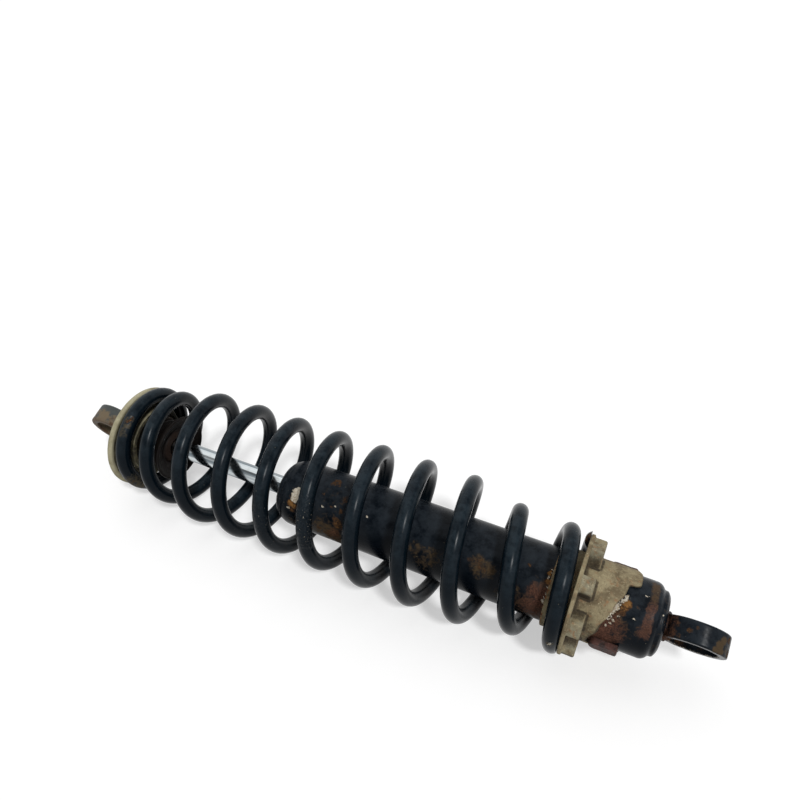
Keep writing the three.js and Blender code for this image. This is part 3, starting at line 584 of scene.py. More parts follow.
# In these paints, the paler tone and its share on faces turned up are partly dust and partly painted sheen.
FINISHES = {
    "spring_paint": painted(
        "spring_paint_worn", dark=tone(3, 10, 16), light=tone(8, 19, 27), gloss=0.18,
        specular=0.085, dust_tone=tone(82, 74, 58), bare_tone=tone(140, 126, 98),
        dust_and_sheen_tone=tone(60, 72, 80), dust_and_sheen_share=0.34,
    ),
    "black_paint": painted(
        "tube_paint_rusted", dark=tone(4, 8, 13), light=tone(10, 16, 23), gloss=0.2,
        specular=0.065, dust_tone=tone(80, 65, 46), bare_tone=tone(156, 136, 106),
        dust_and_sheen_tone=tone(60, 67, 74), dust_and_sheen_share=0.36,
    ),
    "rusty_steel": rusted("stop_lug_rust", tone(34, 22, 19), tone(74, 45, 38), tone(112, 78, 62), 0.25),
    "chrome_rod": chromed(),
    "steel": metal("steel_machined", tone(150, 152, 156), 0.38, 0.4, 0.012),
    "cast_aluminium": metal("cast_aluminium_plain", tone(172, 174, 178), 0.45, 0.7, 0.02),
    "bronze": metal("bronze_bush", tone(176, 128, 78), 0.34, 0.4, 0.01),
    "seal_rubber": matte("seal_rubber_black", tone(22, 22, 23), tone(34, 34, 35), 0.6),
    "band_plastic": matte("band_plastic_dark", tone(44, 42, 38), tone(60, 57, 50), 0.5),
    "seat_plastic": moulded(),
    "dusty_rubber": dusty_rubber(),
    "collar_cast": collar_cast(),
}
# The paler tone on its faces turned up is partly dust and partly painted sheen.
rod_eye_paint = painted(
    "rod_eye_stained", dark=tone(44, 50, 52), light=tone(64, 66, 62), gloss=0.45, specular=0.3,
    dust_tone=tone(112, 96, 72), bare_tone=tone(150, 130, 96), dust_and_sheen_tone=tone(78, 82, 80), dust_and_sheen_share=0.4,
)
dirty_steel = rusted("steel_dirty", tone(38, 32, 28), tone(66, 54, 44), tone(104, 84, 64), 0.08)
for part in frame["record"]["subparts"]:
    node = frame["nodes"][part["node"]]
    node.data.materials.clear()
    node.data.materials.append(FINISHES[part["material_slot"]])


# Coil spring

WIRE_RADIUS = 4.0
SPRING_RADIUS = 31.7
SPRING_END_RADIUS = 25.9
SPRING_TURNS = 11.38
SPRING_TIP_ANGLE = 282
CLOSED_PITCH = 8.5
ROD_CLOSED, ROD_OPEN = 0.413, 1.688
BODY_CLOSED, BODY_OPEN = 0.707, 1.107
ROD_NARROW, ROD_FULL = 1.096, 2.589
BODY_NARROW, BODY_FULL = 2.164, 2.712
ROD_SEAT_PLANE = -141.8
BODY_SEAT_PLANE = 109.4
SPRING_END = BODY_SEAT_PLANE + 2
SPRING_LENGTH = SPRING_END - ROD_SEAT_PLANE
SPRING_SAG = 3
SAG_POWER = 6
SPRING_STEPS = 72
SPRING_SIDES = 28
SEAM_TURNS = 10 - 12 / 360
SHORT_TURN = 1e-4
UNEVEN_DEPTH = 0.03
SLIT_FROM, SLIT_TO, SLIT_STEP = 0.51, 0.575, 0.0014
SLIT_DEPTH = 0.25
SLIT = on_round(29.8, [
    (-134.6, 115, 0.6, 0.9), (-134.8, 116.4, 0.8, 1.2), (-135.1, 117.8, 0.9, 1.3),
    (-135.3, 119.2, 0.9, 1.3), (-135.6, 120.6, 0.8, 1.2), (-135.9, 122, 0.6, 0.9),
])
# Blistered patches, with bumps and pale specks; the pale specks are painted glints.
BLISTERS_AND_GLINTS = on_round(36, [
    (-17.1, 137, 6, 0.9), (-15.6, 148, 7, 1), (-13.8, 158, 6, 1), (-12, 167, 5, 0.8),
    (-41.4, 148, 4, 0.7), (-39.5, 160, 5, 0.8), (-38, 170, 4, 0.5),
])
SPRING_RUST = on_round(30, [
    (-134.3, 114.8, 1.3, 0.66), (-134.5, 117.4, 1.5, 0.7), (-136.2, 121, 1.2, 0.66),
    (-131.5, 198, 4, 0.5),
]) + on_round(28.7, [(108.6, 58, 5, 0.78), (108.4, 70, 4, 0.66)])
SPRING_BARE = on_round(29.8, [(106.3, 183.2, 0.9, 0.6)]) + on_round(33, [(-108.2, 148.6, 0.5, 1.3)])
SPRING_DUST = on_round(29.5, [
    (-135.5, 118, 2.6, 0.8), (-135.6, 124, 2.6, 0.8), (-136.4, 130, 2.2, 0.8),
    (-134.6, 134, 2, 0.6), (-136.6, 137, 1.8, 0.8), (106.3, 183.2, 1.8, 1),
    (-131.7, 194, 6, 0.75), (-131, 206, 7, 0.8), (-131, 220, 8, 0.5),
])


def smooth_area(share):
    """The area under a smooth step from 0 to 1, up to a share of it."""
    inside = np.clip(share, 0, 1)
    return np.where(share >= 1, share - 0.5, inside**3 - inside**4 / 2)


def opened_turns(turns):
    """How many of the turns are open-wound, so far along the wire."""
    rod_span, body_span = ROD_OPEN - ROD_CLOSED, BODY_OPEN - BODY_CLOSED
    opened = rod_span * smooth_area((turns - ROD_CLOSED) / rod_span)
    return opened - body_span * smooth_area((turns - SPRING_TURNS + BODY_OPEN) / body_span)


OPEN_RISE = (SPRING_LENGTH - CLOSED_PITCH * SPRING_TURNS) / opened_turns(SPRING_TURNS)


def spring_line(turns):
    """The wire's centre line, with the way out from the spring's axis."""
    x = ROD_SEAT_PLANE + CLOSED_PITCH * turns + OPEN_RISE * opened_turns(turns)
    rod_share = 1 - rise(turns, ROD_NARROW, ROD_FULL - ROD_NARROW)
    body_share = rise(turns - SPRING_TURNS, -BODY_FULL, BODY_FULL - BODY_NARROW)
    radius = SPRING_RADIUS - (SPRING_RADIUS - SPRING_END_RADIUS) * (rod_share + body_share)
    along = (x - (ROD_SEAT_PLANE + SPRING_END) / 2) / (SPRING_LENGTH / 2)
    lift = SPRING_SAG * (1 - np.minimum(1, np.abs(along)) ** SAG_POWER)
    out = polar(0, 1, SPRING_TIP_ANGLE + 360 * turns)
    centre = radius[:, None] * out
    centre[:, 0] = x
    centre[:, 2] += lift
    return centre, out


def spring_piece(first, last):
    """Part of the wire, ground flat at the seats and where it lies on the floor."""
    fine = np.arange(SLIT_FROM, SLIT_TO, SLIT_STEP)
    even = np.linspace(first, last, round((last - first) * SPRING_STEPS) + 1)
    turns = np.union1d(even, fine[(fine > first) & (fine < last)])
    centre, out = spring_line(turns)
    ahead, _ = spring_line(turns + SHORT_TURN)
    along = ahead - centre
    along /= np.linalg.norm(along, axis=1)[:, None]
    outward = out - along * np.sum(out * along, axis=1)[:, None]
    outward /= np.linalg.norm(outward, axis=1)[:, None]
    across = np.cross(along, outward)
    side = (np.arange(SPRING_SIDES) / SPRING_SIDES * 2 * np.pi)[:, None]
    rings = []
    for i in range(len(turns)):
        way = np.cos(side) * outward[i] + np.sin(side) * across[i]
        ring = centre[i] + way * WIRE_RADIUS
        slit = SLIT_DEPTH * np.minimum(1, spots(ring, SLIT))
        uneven = UNEVEN_DEPTH * grain(ring, 5, 3, 2)
        ring = ring + way * (uneven - slit - UNEVEN_DEPTH)[:, None]
        ring[:, 0] = np.clip(ring[:, 0], ROD_SEAT_PLANE, BODY_SEAT_PLANE)
        ring[:, 2] = np.maximum(ring[:, 2], -AXIS_HEIGHT)
        rings.append(ring)
    return swept(rings, False)


def add_spring():
    """The wire in two parts: the long one closes with the rod, the short one with the collar."""
    seam = float(spring_line(np.array([SEAM_TURNS]))[0][0][0])
    rod_side = build("spring_rod_side", spring_piece(0, SEAM_TURNS))
    collar_side = build("spring_collar_side", spring_piece(SEAM_TURNS, SPRING_TURNS))
    for obj, body in ((rod_side, "damper"), (collar_side, "spring")):
        p, *_ = points_of(obj)
        beneath = rise(-p[:, 2], 24, 8)
        slit = np.minimum(1, spots(p, SLIT))
        # The pale specks on the blisters are painted glints.
        mark(
            obj,
            rust=spots(p, SPRING_RUST) * (1 - slit) + 0.78 * slit + 0.12 * beneath,
            bare=spots(p, SPRING_BARE) + 0.22 * spots(p, BLISTERS_AND_GLINTS),
            dust=spots(p, SPRING_DUST) * (1 - slit) + 0.25 * beneath,
        )
        settle(obj, body, "spring_paint", "coil_spring")
    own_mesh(rod_side)
    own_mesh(collar_side)


add_spring()


# Damper tube and cap

TUBE_RADIUS = 17.5
TUBE_BORE = 15.9
TUBE_END = 140
HEAD_FACE = -45.9
HEAD_INSIDE = -44.3
HEAD_BORE = 9.3
FINE_STATIONS = (*np.arange(95, 99.3, 0.5), *np.arange(125, 135.1, 0.5))
CAP_SPIGOT = 133.9
CAP_SPIGOT_RADIUS = 15.6
CAP_BORE = 8.5
CAP_RIM = 139.97
CAP_STEP = 146.4
CAP_STEP_RADIUS = 14.9
CAP_FACE = 149.4
CRUST_HEIGHT = 0.45
SKIRT_LINE = 97.9
BAND_START, BAND_END = 139.4, 144.7
LOW_ANGLE = 96

TUBE_RUST = on_round(TUBE_RADIUS, [
    (-15.1, 89.3, 2.6, 0.72), (-16.9, 96, 1.6, 0.6), (-13, 95, 1.4, 0.6), (-18.4, 117.3, 1, 0.7),
    (-6, 113, 2.2, 0.66), (-7.6, 120, 1.6, 0.6), (-6.5, 133.7, 1.8, 0.66), (-12, 133, 0.9, 0.7),
    (-6.6, 157, 3, 0.85), (-8.8, 150, 1.6, 0.7), (-4.2, 162, 2.2, 0.7),
    (-7.7, 176, 3.6, 0.8), (-10, 186, 5, 0.7), (-17, 178, 1.6, 0.7),
    (-34.4, 151, 2.2, 1.1), (-32, 154, 1.8, 1), (-33, 162, 1.8, 0.8), (-34.6, 137, 2.6, 0.5),
    (61.8, 135, 1.6, 0.55), (66.6, 135, 3.4, 0.56), (71.9, 140, 2.2, 0.58), (68.5, 141, 2.4, 0.6),
    (88, 112, 1, 0.8), (92.3, 145, 2.6, 0.66), (96.6, 152.6, 3.4, 0.85), (90.5, 165, 1.6, 0.66),
    (97.3, 162, 3.4, 0.85), (97.6, 141, 1.6, 0.9), (97.4, 126, 1.3, 0.9), (97.2, 114, 1, 0.9),
    (94, 174, 4, 0.7),
    (132.2, 117, 2.2, 1.1), (131.4, 122, 2.2, 1), (130.2, 130, 2.6, 0.8), (128.6, 141, 3.4, 0.75),
    (127.5, 152, 5, 0.72),
    (126.2, 166, 3.4, 0.8), (126.4, 180, 4.4, 0.8), (124.4, 172, 5, 0.85), (130.6, 158, 1.6, 0.6),
    (131, 171, 1.8, 0.6), (136.6, 117, 1.4, 0.55),
    (133, 150, 2.4, 0.5), (132.5, 172, 3.4, 0.6), (124, 200, 7, 0.8), (118, 215, 8, 0.7),
    (20, 250, 14, 0.5), (-25, 262, 10, 0.5), (80, 285, 12, 0.5), (110, 262, 14, 0.6), (60, 20, 9, 0.45),
])
TUBE_RED = on_round(TUBE_RADIUS, [
    (96.6, 152.6, 7, 1), (92.3, 145, 5, 0.9), (94, 174, 7, 0.9), (127.5, 152, 5, 0.8),
    (128.5, 168, 8, 1), (129, 182, 9, 1), (-7.7, 178, 3, 0.5),
])
# Bare chips; the small spot at station 7.3, angle 127.7 is a painted highlight.
TUBE_BARE_AND_GLINT = on_round(TUBE_RADIUS, [
    (-32.4, 124, 1.3, 0.8), (-33.4, 129, 1.8, 0.95), (-31.6, 131, 1.6, 0.9), (-33.6, 135, 1.7, 0.95),
    (-31.6, 138, 1.6, 0.9), (-33.8, 142, 1.5, 0.85), (-31.8, 145, 1.3, 0.8), (-35.2, 160, 0.9, 0.85),
    (-16.6, 137, 0.7, 0.85), (-10.3, 130, 0.6, 0.9), (-3.6, 126.4, 0.9, 0.85), (7.3, 127.7, 0.5, 0.9),
    (138.9, 96, 0.4, 1.1), (136.1, 133.5, 0.4, 1.1), (139.8, 95, 0.3, 0.9),
    (131.7, 106.5, 1.2, 0.64), (131, 110, 1.4, 0.73), (130.2, 114, 1.2, 0.62), (129.2, 120, 1.4, 0.6),
    (128.3, 125, 1.6, 0.73), (127.6, 130, 1.7, 0.73), (126.8, 135, 1.4, 0.64), (129.9, 137, 0.7, 0.8),
    (127.6, 151, 0.7, 0.75), (126, 156, 0.6, 0.75), (129.6, 149, 0.5, 0.75),
    (128.4, 145, 0.8, 0.8), (126.4, 143, 1.5, 0.66),
])
TUBE_DUST = on_round(TUBE_RADIUS, [
    (-14, 182, 9, 0.7), (-4, 190, 8, 0.7), (-28, 185, 8, 0.5), (-12, 130, 10, 0.35),
    (43, 154, 6, 0.6), (35, 149, 4, 0.6), (51, 141, 3.4, 0.6), (40, 166, 6, 0.5), (56, 150, 3, 0.5),
    (66, 137, 5, 0.75), (71, 141, 4.4, 0.7), (68, 148, 5, 0.55), (98, 150, 9, 0.8), (96, 175, 10, 0.8),
    (103, 120, 5, 0.8), (128, 160, 9, 0.7), (120, 190, 14, 0.7), (84, 170, 8, 0.6),
])
TUBE_CRUST = on_round(TUBE_RADIUS, [
    (131.3, 110, 1.6, 0.8), (131.3, 119, 2.2, 1), (128.6, 127, 2.6, 1), (129, 140, 2.6, 0.8),
    (128, 155, 4, 0.6), (127.5, 172, 6, 0.6), (97.4, 112, 1.4, 0.6), (97.7, 127, 1.8, 0.6),
    (97.6, 141, 1.8, 0.6), (-33, 153, 2, 0.4),
])
CAP_RUST = [(150, 0, 8, 7, 0.62), (150, -6, -6, 6, 0.6)]
CAP_BARE = on_round(CAP_STEP_RADIUS, [(147.3, 112, 0.4, 1)])


def end_band(points, x, angle):
    """How far points lie in the stained band at the body end, and in its redder part."""
    low_part = smooth((angle - LOW_ANGLE) / 24)
    first = BAND_START - 1.6 * low_part + 1.3 * grain(points, 5, 12, 2)
    last = BAND_END + 0.8 * grain(points, 5, 14, 2)
    band = rise(x, first, 1.6) * fall(x, last, 1.0)
    band = band * rise(angle, 50, 16) * fall(angle, 166, 16)
    return band, band * rise(angle, LOW_ANGLE, 16)


def add_tube():
    """The damper's tube, rolled in over its head, with its chips, rust and crust."""
    tube = turned_piece("damper_tube", "damper", "black_paint", "outer_tube", [
        (HEAD_FACE, HEAD_BORE, 0.3), (HEAD_FACE, 12.6, 1.4), (-43.4, 15.6, 1.5), (-41.9, 15.6, 0.25),
        (-41.5, 16.4, 0.3), (-38.6, TUBE_RADIUS, 1.6), *[(x, TUBE_RADIUS, 0) for x in FINE_STATIONS],
        (TUBE_END, TUBE_RADIUS, 0), (TUBE_END, TUBE_BORE, 0.2), (-39.4, TUBE_BORE, 0.5),
        (HEAD_INSIDE, 12.0, 0.4), (HEAD_INSIDE, HEAD_BORE, 0.2),
    ], 1.1, 240, 5)
    p, x, radius, angle = points_of(tube)
    rim, low_rim = end_band(p, x, angle)
    by_skirt = near(x, SKIRT_LINE, 0.9, 1.3) * rise(angle, 100, 8) * fall(angle, 172, 12)
    flakes = by_skirt * rise(grain(p, 1.7, 17, 2), -0.25, 0.5)
    rust = spots(p, TUBE_RUST) + 0.2 * rim + 0.24 * low_rim
    rust += 0.9 * by_skirt * rise(grain(p, 1.9, 18, 2), -0.5, 0.5)
    lumps = spots(p, TUBE_CRUST) * np.clip(grain(p, 1.3, 5, 2) + 0.35, 0, 1) * CRUST_HEIGHT
    uneven = 0.05 * rust * grain(p, 1.3, 6, 2) + 0.02 * grain(p, 9, 7, 2)
    push(tube, rise(radius, 17.0, 0.4) * (lumps + uneven))
    mark(
        tube,
        rust=rust,
        bare=np.maximum(spots(p, TUBE_BARE_AND_GLINT), 0.95 * flakes),
        dust=spots(p, TUBE_DUST) + 0.05 + 0.72 * rim,
        tint=spots(p, TUBE_RED) + low_rim,
    )


def add_cap():
    """The stepped cap in the tube's end."""
    cap = turned_piece("damper_base_cap", "damper", "black_paint", "base_cap", [
        (141.9, 0, 0), (141.9, CAP_BORE, 0.4), (CAP_SPIGOT, CAP_BORE, 0.4),
        (CAP_SPIGOT, CAP_SPIGOT_RADIUS, 0.5), (CAP_RIM, CAP_SPIGOT_RADIUS, 0.1), (CAP_RIM, 17.49, 0),
        (144.6, 17.4, 2.2), (CAP_STEP, CAP_STEP_RADIUS, 0.7), (147.9, CAP_STEP_RADIUS, 0.6),
        (CAP_FACE, 12.6, 1.2), (CAP_FACE, 0, 0),
    ], 0.9, 160, 5)
    p, x, _, angle = points_of(cap)
    ridge = rise(x, 146.0, 0.6) * fall(x, 149.2, 0.8)
    rim, low_rim = end_band(p, x, angle)
    push(cap, 0.05 * grain(p, 2.2, 15, 2) * rise(x, 140.4, 1))
    mark(
        cap,
        rust=0.2 * rim + 0.2 * low_rim + spots(p, CAP_RUST),
        bare=spots(p, CAP_BARE),
        dust=0.15 + 0.25 * ridge + 0.72 * rim,
        tint=0.2 + low_rim,
    )


add_tube()
add_cap()


# Mounting eyes

EYE_RADIUS = 14.0
EYE_BORE = 10.25
BODY_EYE_STATION, BODY_EYE_TILT, BODY_EYE_WIDTH = 163, 29, 10
ROD_EYE_STATION, ROD_EYE_TILT, ROD_EYE_WIDTH = -165, 21, 11
FOOT_START, FOOT_END = 149.75, 153.6
BEAD_STATION, BEAD_RADIUS, BEAD_SIZE = 150.7, 5.7, 0.95
ROD_HOLE = 5.3
STUB_END = -140.5
STUB_BORE = 8.5
PLUG_RADIUS = 8.4


class Eye:
    """An eye's place along the shock and its tilt about it."""

    def __init__(self, station, tilt):
        self.centre = np.array([station, 0, 0])
        self.tilt = tilt

    def place(self, points):
        """Points given along the eye's bore, up across it and along the shock, in place."""
        return turned(np.asarray(points)[:, [2, 0, 1]], self.tilt) + self.centre

    def find(self, points):
        """How far points lie along the eye's bore, and away from it."""
        forward, along, up = turned(points - self.centre, -self.tilt).T
        return along, np.hypot(up, forward)

    def ring(self, width):
        """The eye's ring."""
        half = width / 2
        points, faces = lathe([
            (-half, EYE_BORE, 0.5), (-half, EYE_RADIUS, 0.9),
            (half, EYE_RADIUS, 0.9), (half, EYE_BORE, 0.5),
        ], 1.0, 120)
        return self.place(points), faces

    def spots(self, points, places):
        """As spots(), with places as (along the bore, angle round it from +X, radius, strength)."""
        found = []
        for along, angle, radius, strength in places:
            turn = math.radians(angle)
            point = [along, EYE_RADIUS * math.sin(turn), EYE_RADIUS * math.cos(turn)]
            found.append((*self.place([point])[0], radius, strength))
        return spots(points, found)


def weld_bead(station, radius, size):
    """A lumpy bead of weld round the axis."""
    around = np.linspace(0, 2 * np.pi, 12, endpoint=False)
    rings = []
    for angle in np.arange(0, 360, 4):
        lump = 1 + 0.16 * math.sin(math.radians(angle * 11)) + 0.08 * math.sin(angle * 0.31)
        x = station + size * lump * np.cos(around)
        rings.append(polar(x, radius + size * lump * np.sin(around), angle))
    return swept(rings, True)


def add_body_eye():
    """The eye welded to the cap."""
    eye = Eye(BODY_EYE_STATION, BODY_EYE_TILT)
    foot = lathe([
        (FOOT_START, 0, 0), (FOOT_START, 6.9, 0.2), (150.2, 6.6, 0.3), (151.0, 5.7, 0.5),
        (FOOT_END, 5.4, 0), (FOOT_END, 0, 0),
    ], 0.8, 72)
    bead = weld_bead(BEAD_STATION, BEAD_RADIUS, BEAD_SIZE)
    shells = together(eye.ring(BODY_EYE_WIDTH), foot, bead)
    body_eye = fuse(build("body_eye_ring", shells), SKIN_VOXEL)
    p, x, *_ = points_of(body_eye)
    along, away = eye.find(p)
    push(body_eye, 0.04 * grain(p, 2.4, 21, 3))
    root = fall(x, 155.8, 3.2)
    rust = eye.spots(p, [
        (0.9, 134, 2.4, 0.6), (-2.8, 138, 2.8, 0.66), (0, 108, 1.5, 0.66), (1.9, 96.4, 1.1, 0.66),
        (-3.5, 124, 1.4, 0.55), (2.3, 30, 2.0, 0.7), (-2.6, 21, 2.4, 0.7), (1, 14, 2.4, 0.6),
        (4.6, 62, 1.4, 0.5), (2, -60, 5, 0.6), (-2, -120, 5, 0.6),
    ])
    rust = np.maximum(root * (0.6 + 0.2 * grain(p, 3, 22, 2)), rust)
    dust = eye.spots(p, [
        (-1.6, 52.4, 2.3, 1.0), (-3.9, 58.6, 1.8, 1.0), (1.1, 45.9, 2.0, 0.95), (-3.8, 48, 2.0, 1.0),
        (-2.2, 30, 2.2, 0.6),
    ])
    # A thin pale line along the bore's edge on one face: chipped paint, and partly a painted highlight.
    from_edge = np.hypot(away - EYE_BORE - 0.3, along + 4.9)
    mark(
        body_eye,
        rust=rust + 0.3 * fall(away, EYE_BORE + 1.2, 1.0),
        bare=0.5 * fall(from_edge, 0.7, 0.5),
        dust=dust + 0.1,
        tint=0.6 * root,
    )
    settle(body_eye, "damper", "black_paint", "body_eye")


def add_rod_eye():
    """The eye with the stub that the rod screws into."""
    eye = Eye(ROD_EYE_STATION, ROD_EYE_TILT)
    stub = lathe([
        (-147.8, ROD_HOLE, 0.2), (-150.8, ROD_HOLE, 0), (-155.2, 8.6, 0.6), (-148.6, 10.5, 0.3),
        (-148.15, 10.4, 0), (-148.1, STUB_BORE, 0), (-141.0, STUB_BORE, 0), (STUB_END, 8.0, 0),
        (STUB_END, ROD_HOLE, 0.2),
    ], 0.8, 72)
    plug = lathe([
        (-155.6, 0.01, 0), (-155.6, PLUG_RADIUS, 0), (-148.2, PLUG_RADIUS, 0), (-148.2, 0.01, 0),
    ], 1.0, 60)
    shells = together(eye.ring(ROD_EYE_WIDTH), stub, plug)
    rod_eye = fuse(build("rod_eye_ring", shells), SKIN_VOXEL)
    p, *_ = points_of(rod_eye)
    along, away = eye.find(p)
    push(rod_eye, 0.06 * grain(p, 2.0, 25, 3))
    lower_rim = rise(-along, 3.0, 2.4)
    rust = 0.36 * lower_rim * (1 + 0.5 * grain(p, 3, 26, 2)) + 0.35 * fall(away, EYE_BORE + 1.0, 1.0)
    mark(
        rod_eye,
        rust=rust + eye.spots(p, [(-2, 120, 3, 0.5), (-2, 66, 3, 0.5)]),
        dust=0.2 + 0.7 * fall(along, 3.6, 4.0) + 0.5 * grain(p, 3, 27, 3),
        tint=0.3 * lower_rim,
    )
    settle(rod_eye, "rod", "rusty_steel", "rod_eye", rod_eye_paint)


add_body_eye()
add_rod_eye()


# Rod end

ROD_START, ROD_END = -147.4, 14.5
ROD_RADIUS = 4.95
THREAD_START = -12
THREAD_RADIUS = 3.95
SEAT_BACK, SEAT_FACE = -145.3, -142.1
SEAT_BORE = 8.8
SEAT_RADIUS = 29.0
HUB_RADIUS = 19.0
HUB_END = -135.5
STOP_BACK, STOP_FACE = -132.1, -121.5
STOP_BACK_RADIUS = 13.6
WIPER_FACE, WIPER_BACK = -46.8, -44.0
WIPER_RADIUS = 9.0
WIPER_LIP = 6.1


def add_spring_seat():
    """The moulded seat, with its hub inside the end coils."""
    seat = turned_piece("rod_side_spring_seat", "rod", "seat_plastic", "rod_spring_seat", [
        (SEAT_BACK, SEAT_BORE, 0.2), (SEAT_BACK, 28.2, 0.3), (-144.5, SEAT_RADIUS, 0.6),
        (-142.9, SEAT_RADIUS, 0.6), (SEAT_FACE, 28.2, 0.3), (SEAT_FACE, HUB_RADIUS, 0.5),
        (HUB_END, HUB_RADIUS, 0.9), (HUB_END, 16.4, 0.6), (-142.9, 15.6, 0.5),
        (-142.9, SEAT_BORE, 0.2),
    ], 1.2, 144)
    p, x, radius, _ = points_of(seat)
    push(seat, 0.04 * grain(p, 4, 31, 2))
    # Inside the rim the seat is darkened, less on the hub's side: soiling and painted shade.
    inner = fall(radius, 28.4, 2) * (x > -143.2)
    hub_side = rise(radius, 18.4, 0.4) * rise(x, -142.4, 0.6)
    mark(seat, dust=inner * (0.95 - 0.36 * hub_side + 0.25 * grain(p, 4, 32, 2)))


def add_bump_stop():
    """The rubber stop, with a flared, dished face."""
    stop = turned_piece("rubber_bump_stop", "rod", "dusty_rubber", "bump_stop", [
        (STOP_BACK, ROD_HOLE, 0.2), (STOP_BACK, STOP_BACK_RADIUS, 0.7),
        (-129.1, STOP_BACK_RADIUS, 1.0), (-127.6, 12.0, 1.0), (-126.1, STOP_BACK_RADIUS, 1.0),
        (-123.3, 16.4, 1.2), (-119.9, 18.7, 0.9), (-118.6, 18.6, 0.5), (-118.7, 17.4, 0.5),
        (-121.2, 13.6, 0.8), (-121.4, 12.6, 0.4), (-122.9, 10.4, 0.6), (-122.9, 9.6, 0.4),
        (STOP_FACE, 8.6, 0.6), (STOP_FACE, ROD_HOLE, 0.3),
    ], 0.9, 120)
    p, x, radius, _ = points_of(stop)
    push(stop, 0.07 * grain(p, 3, 35, 3))
    mark(stop, dust=0.25 + 0.55 * rise(x, -124, 3) * fall(radius, 12.5, 5))


def add_washer(name, node, low, high, bore, radius):
    """A washer between two stations."""
    turned_piece(name, "rod", "steel", node, [
        (low, bore, 0.15), (low, radius, 0.35), (high, radius, 0.35), (high, bore, 0.15),
    ], 2.0, 96, finish=dirty_steel)


turned_piece("chrome_piston_rod", "rod", "chrome_rod", "piston_rod", [
    (ROD_START, 0, 0), (ROD_START, ROD_RADIUS, 0.6), (THREAD_START, ROD_RADIUS, 0.2),
    (THREAD_START, THREAD_RADIUS, 0), (ROD_END, THREAD_RADIUS, 0.6), (ROD_END, 0, 0),
], 4.0, 96)
add_spring_seat()
add_bump_stop()
add_washer("seat_washer_round", "seat_washer", -147.8, -145.6, SEAT_BORE, 22.0)
add_washer("bump_washer_round", "bump_washer", -133.9, -132.4, ROD_HOLE, 14.4)
turned_piece("rod_wiper_lip", "damper", "seal_rubber", "dust_wiper", [
    (WIPER_FACE, ROD_HOLE, 0.1), (WIPER_FACE, WIPER_LIP, 0.2), (-45.8, 6.9, 0.2),
    (-45.8, WIPER_RADIUS, 0.2), (WIPER_BACK, WIPER_RADIUS, 0.2), (WIPER_BACK, WIPER_LIP, 0.1),
    (-45.0, ROD_HOLE, 0.1),
], 0.8, 72)


# Preload collar and its stop lugs

STOP_LUG_ANGLE = 193
STOP_LUG_STATION = 121.3
STOP_LUG_LENGTH = 12.6
STOP_LUG_HALF_WIDTH = 3
STOP_LUG_LAYERS = ((0, 0), (0.8, 0), (1.6, 0), (2.4, 0), (2.9, 0.12), (3.15, 0.3), (3.3, 0.6))
COLLAR_BORE = 17.8
COLLAR_RADIUS = 19.4
COLLAR_STEP = 0.75
FLANGE_FACE, FLANGE_BACK, FLANGE_RADIUS = 109.7, 111.5, 28.4
SKIRT_END = 98.7
LUG_COUNT = 8
LUG_PITCH = 360 / LUG_COUNT
LUG_ANGLE = 27
LUG_LOW, LUG_HIGH = (110.4, -4.25, 18.4), (117.3, 4.25, 27.4)
LUG_TAPER = 0.1
CAM_SEATS, CAM_STEP_ANGLE, CAM_STEP_RISE = 4, 30.7, 3.4
SEAT_CLEARANCE = 0.85
SEAT_HALF_ANGLE, SEAT_SLOPE = 8, 0.4
TONGUE_START, TONGUE_END, TONGUE_RISE = 102.3, 169, 14.6
TONGUE_SHARES = [
    (0, 0.67), (0.02, 0.88), (0.045, 0.97), (0.1, 1), (0.22, 1), (0.34, 1), (0.45, 0.98),
    (0.57, 0.93), (0.68, 0.86), (0.79, 0.74), (0.88, 0.56), (0.94, 0.3), (1, -0.085),
]
EDGE_CHIPS = on_round(19.3, [(129.5, 118, 5, 1), (127, 132, 6, 1), (125, 148, 5, 0.8)])


def cam_edge():
    """The cam's edge over half a turn, as (angle, rise) from the middle of its first seat."""
    seat_end = np.array([SEAT_HALF_ANGLE, SEAT_SLOPE])
    outline = []
    for seat in range(CAM_SEATS):
        middle = np.array([seat * CAM_STEP_ANGLE, seat * CAM_STEP_RISE - SEAT_CLEARANCE])
        outline += [middle - seat_end, middle, middle + seat_end]
    for angle_share, rise_share in TONGUE_SHARES:
        angle = TONGUE_START + (TONGUE_END - TONGUE_START) * angle_share
        outline.append((angle, TONGUE_RISE * rise_share))
    outline.append((180, -SEAT_CLEARANCE) - seat_end)
    return np.array(outline)


CAM_EDGE = cam_edge()


def cam_station(angles):
    """Where the cam's edge lies, at angles about the axis."""
    back = np.mod(STOP_LUG_ANGLE - angles + SEAT_HALF_ANGLE, 180) - SEAT_HALF_ANGLE
    return STOP_LUG_STATION + np.interp(back, CAM_EDGE[:, 0], CAM_EDGE[:, 1])


def collar_sleeve():
    """The skirt and the cam, whose edge is softened and a little uneven."""
    rings = []
    for angle in np.arange(0, 360, COLLAR_STEP):
        nearby = angle + np.array([-1.2, -0.6, 0, 0.6, 1.2])
        end = np.mean(cam_station(nearby))
        end += 0.12 * grain(polar(end, 19, np.array([angle])), 2.2, 40, 2)[0]
        section = np.array(rounded([
            (SKIRT_END, COLLAR_BORE, 0.2), (SKIRT_END, COLLAR_RADIUS, 0.5),
            (110.6, COLLAR_RADIUS, 0), (end, COLLAR_RADIUS - 0.2, 0.6), (end, COLLAR_BORE, 0.3),
        ]))
        rings.append(polar(section[:, 0], section[:, 1], angle))
    return swept(rings, True)


def spanner_lug(angle):
    """One of the lugs beyond the flange, narrower at its top."""
    points, faces = block(LUG_LOW, LUG_HIGH, 0.9)
    height = (points[:, 2] - LUG_LOW[2]) / (LUG_HIGH[2] - LUG_LOW[2])
    points[:, 1] *= 1 - LUG_TAPER * height
    return turned(points, angle - 90), faces


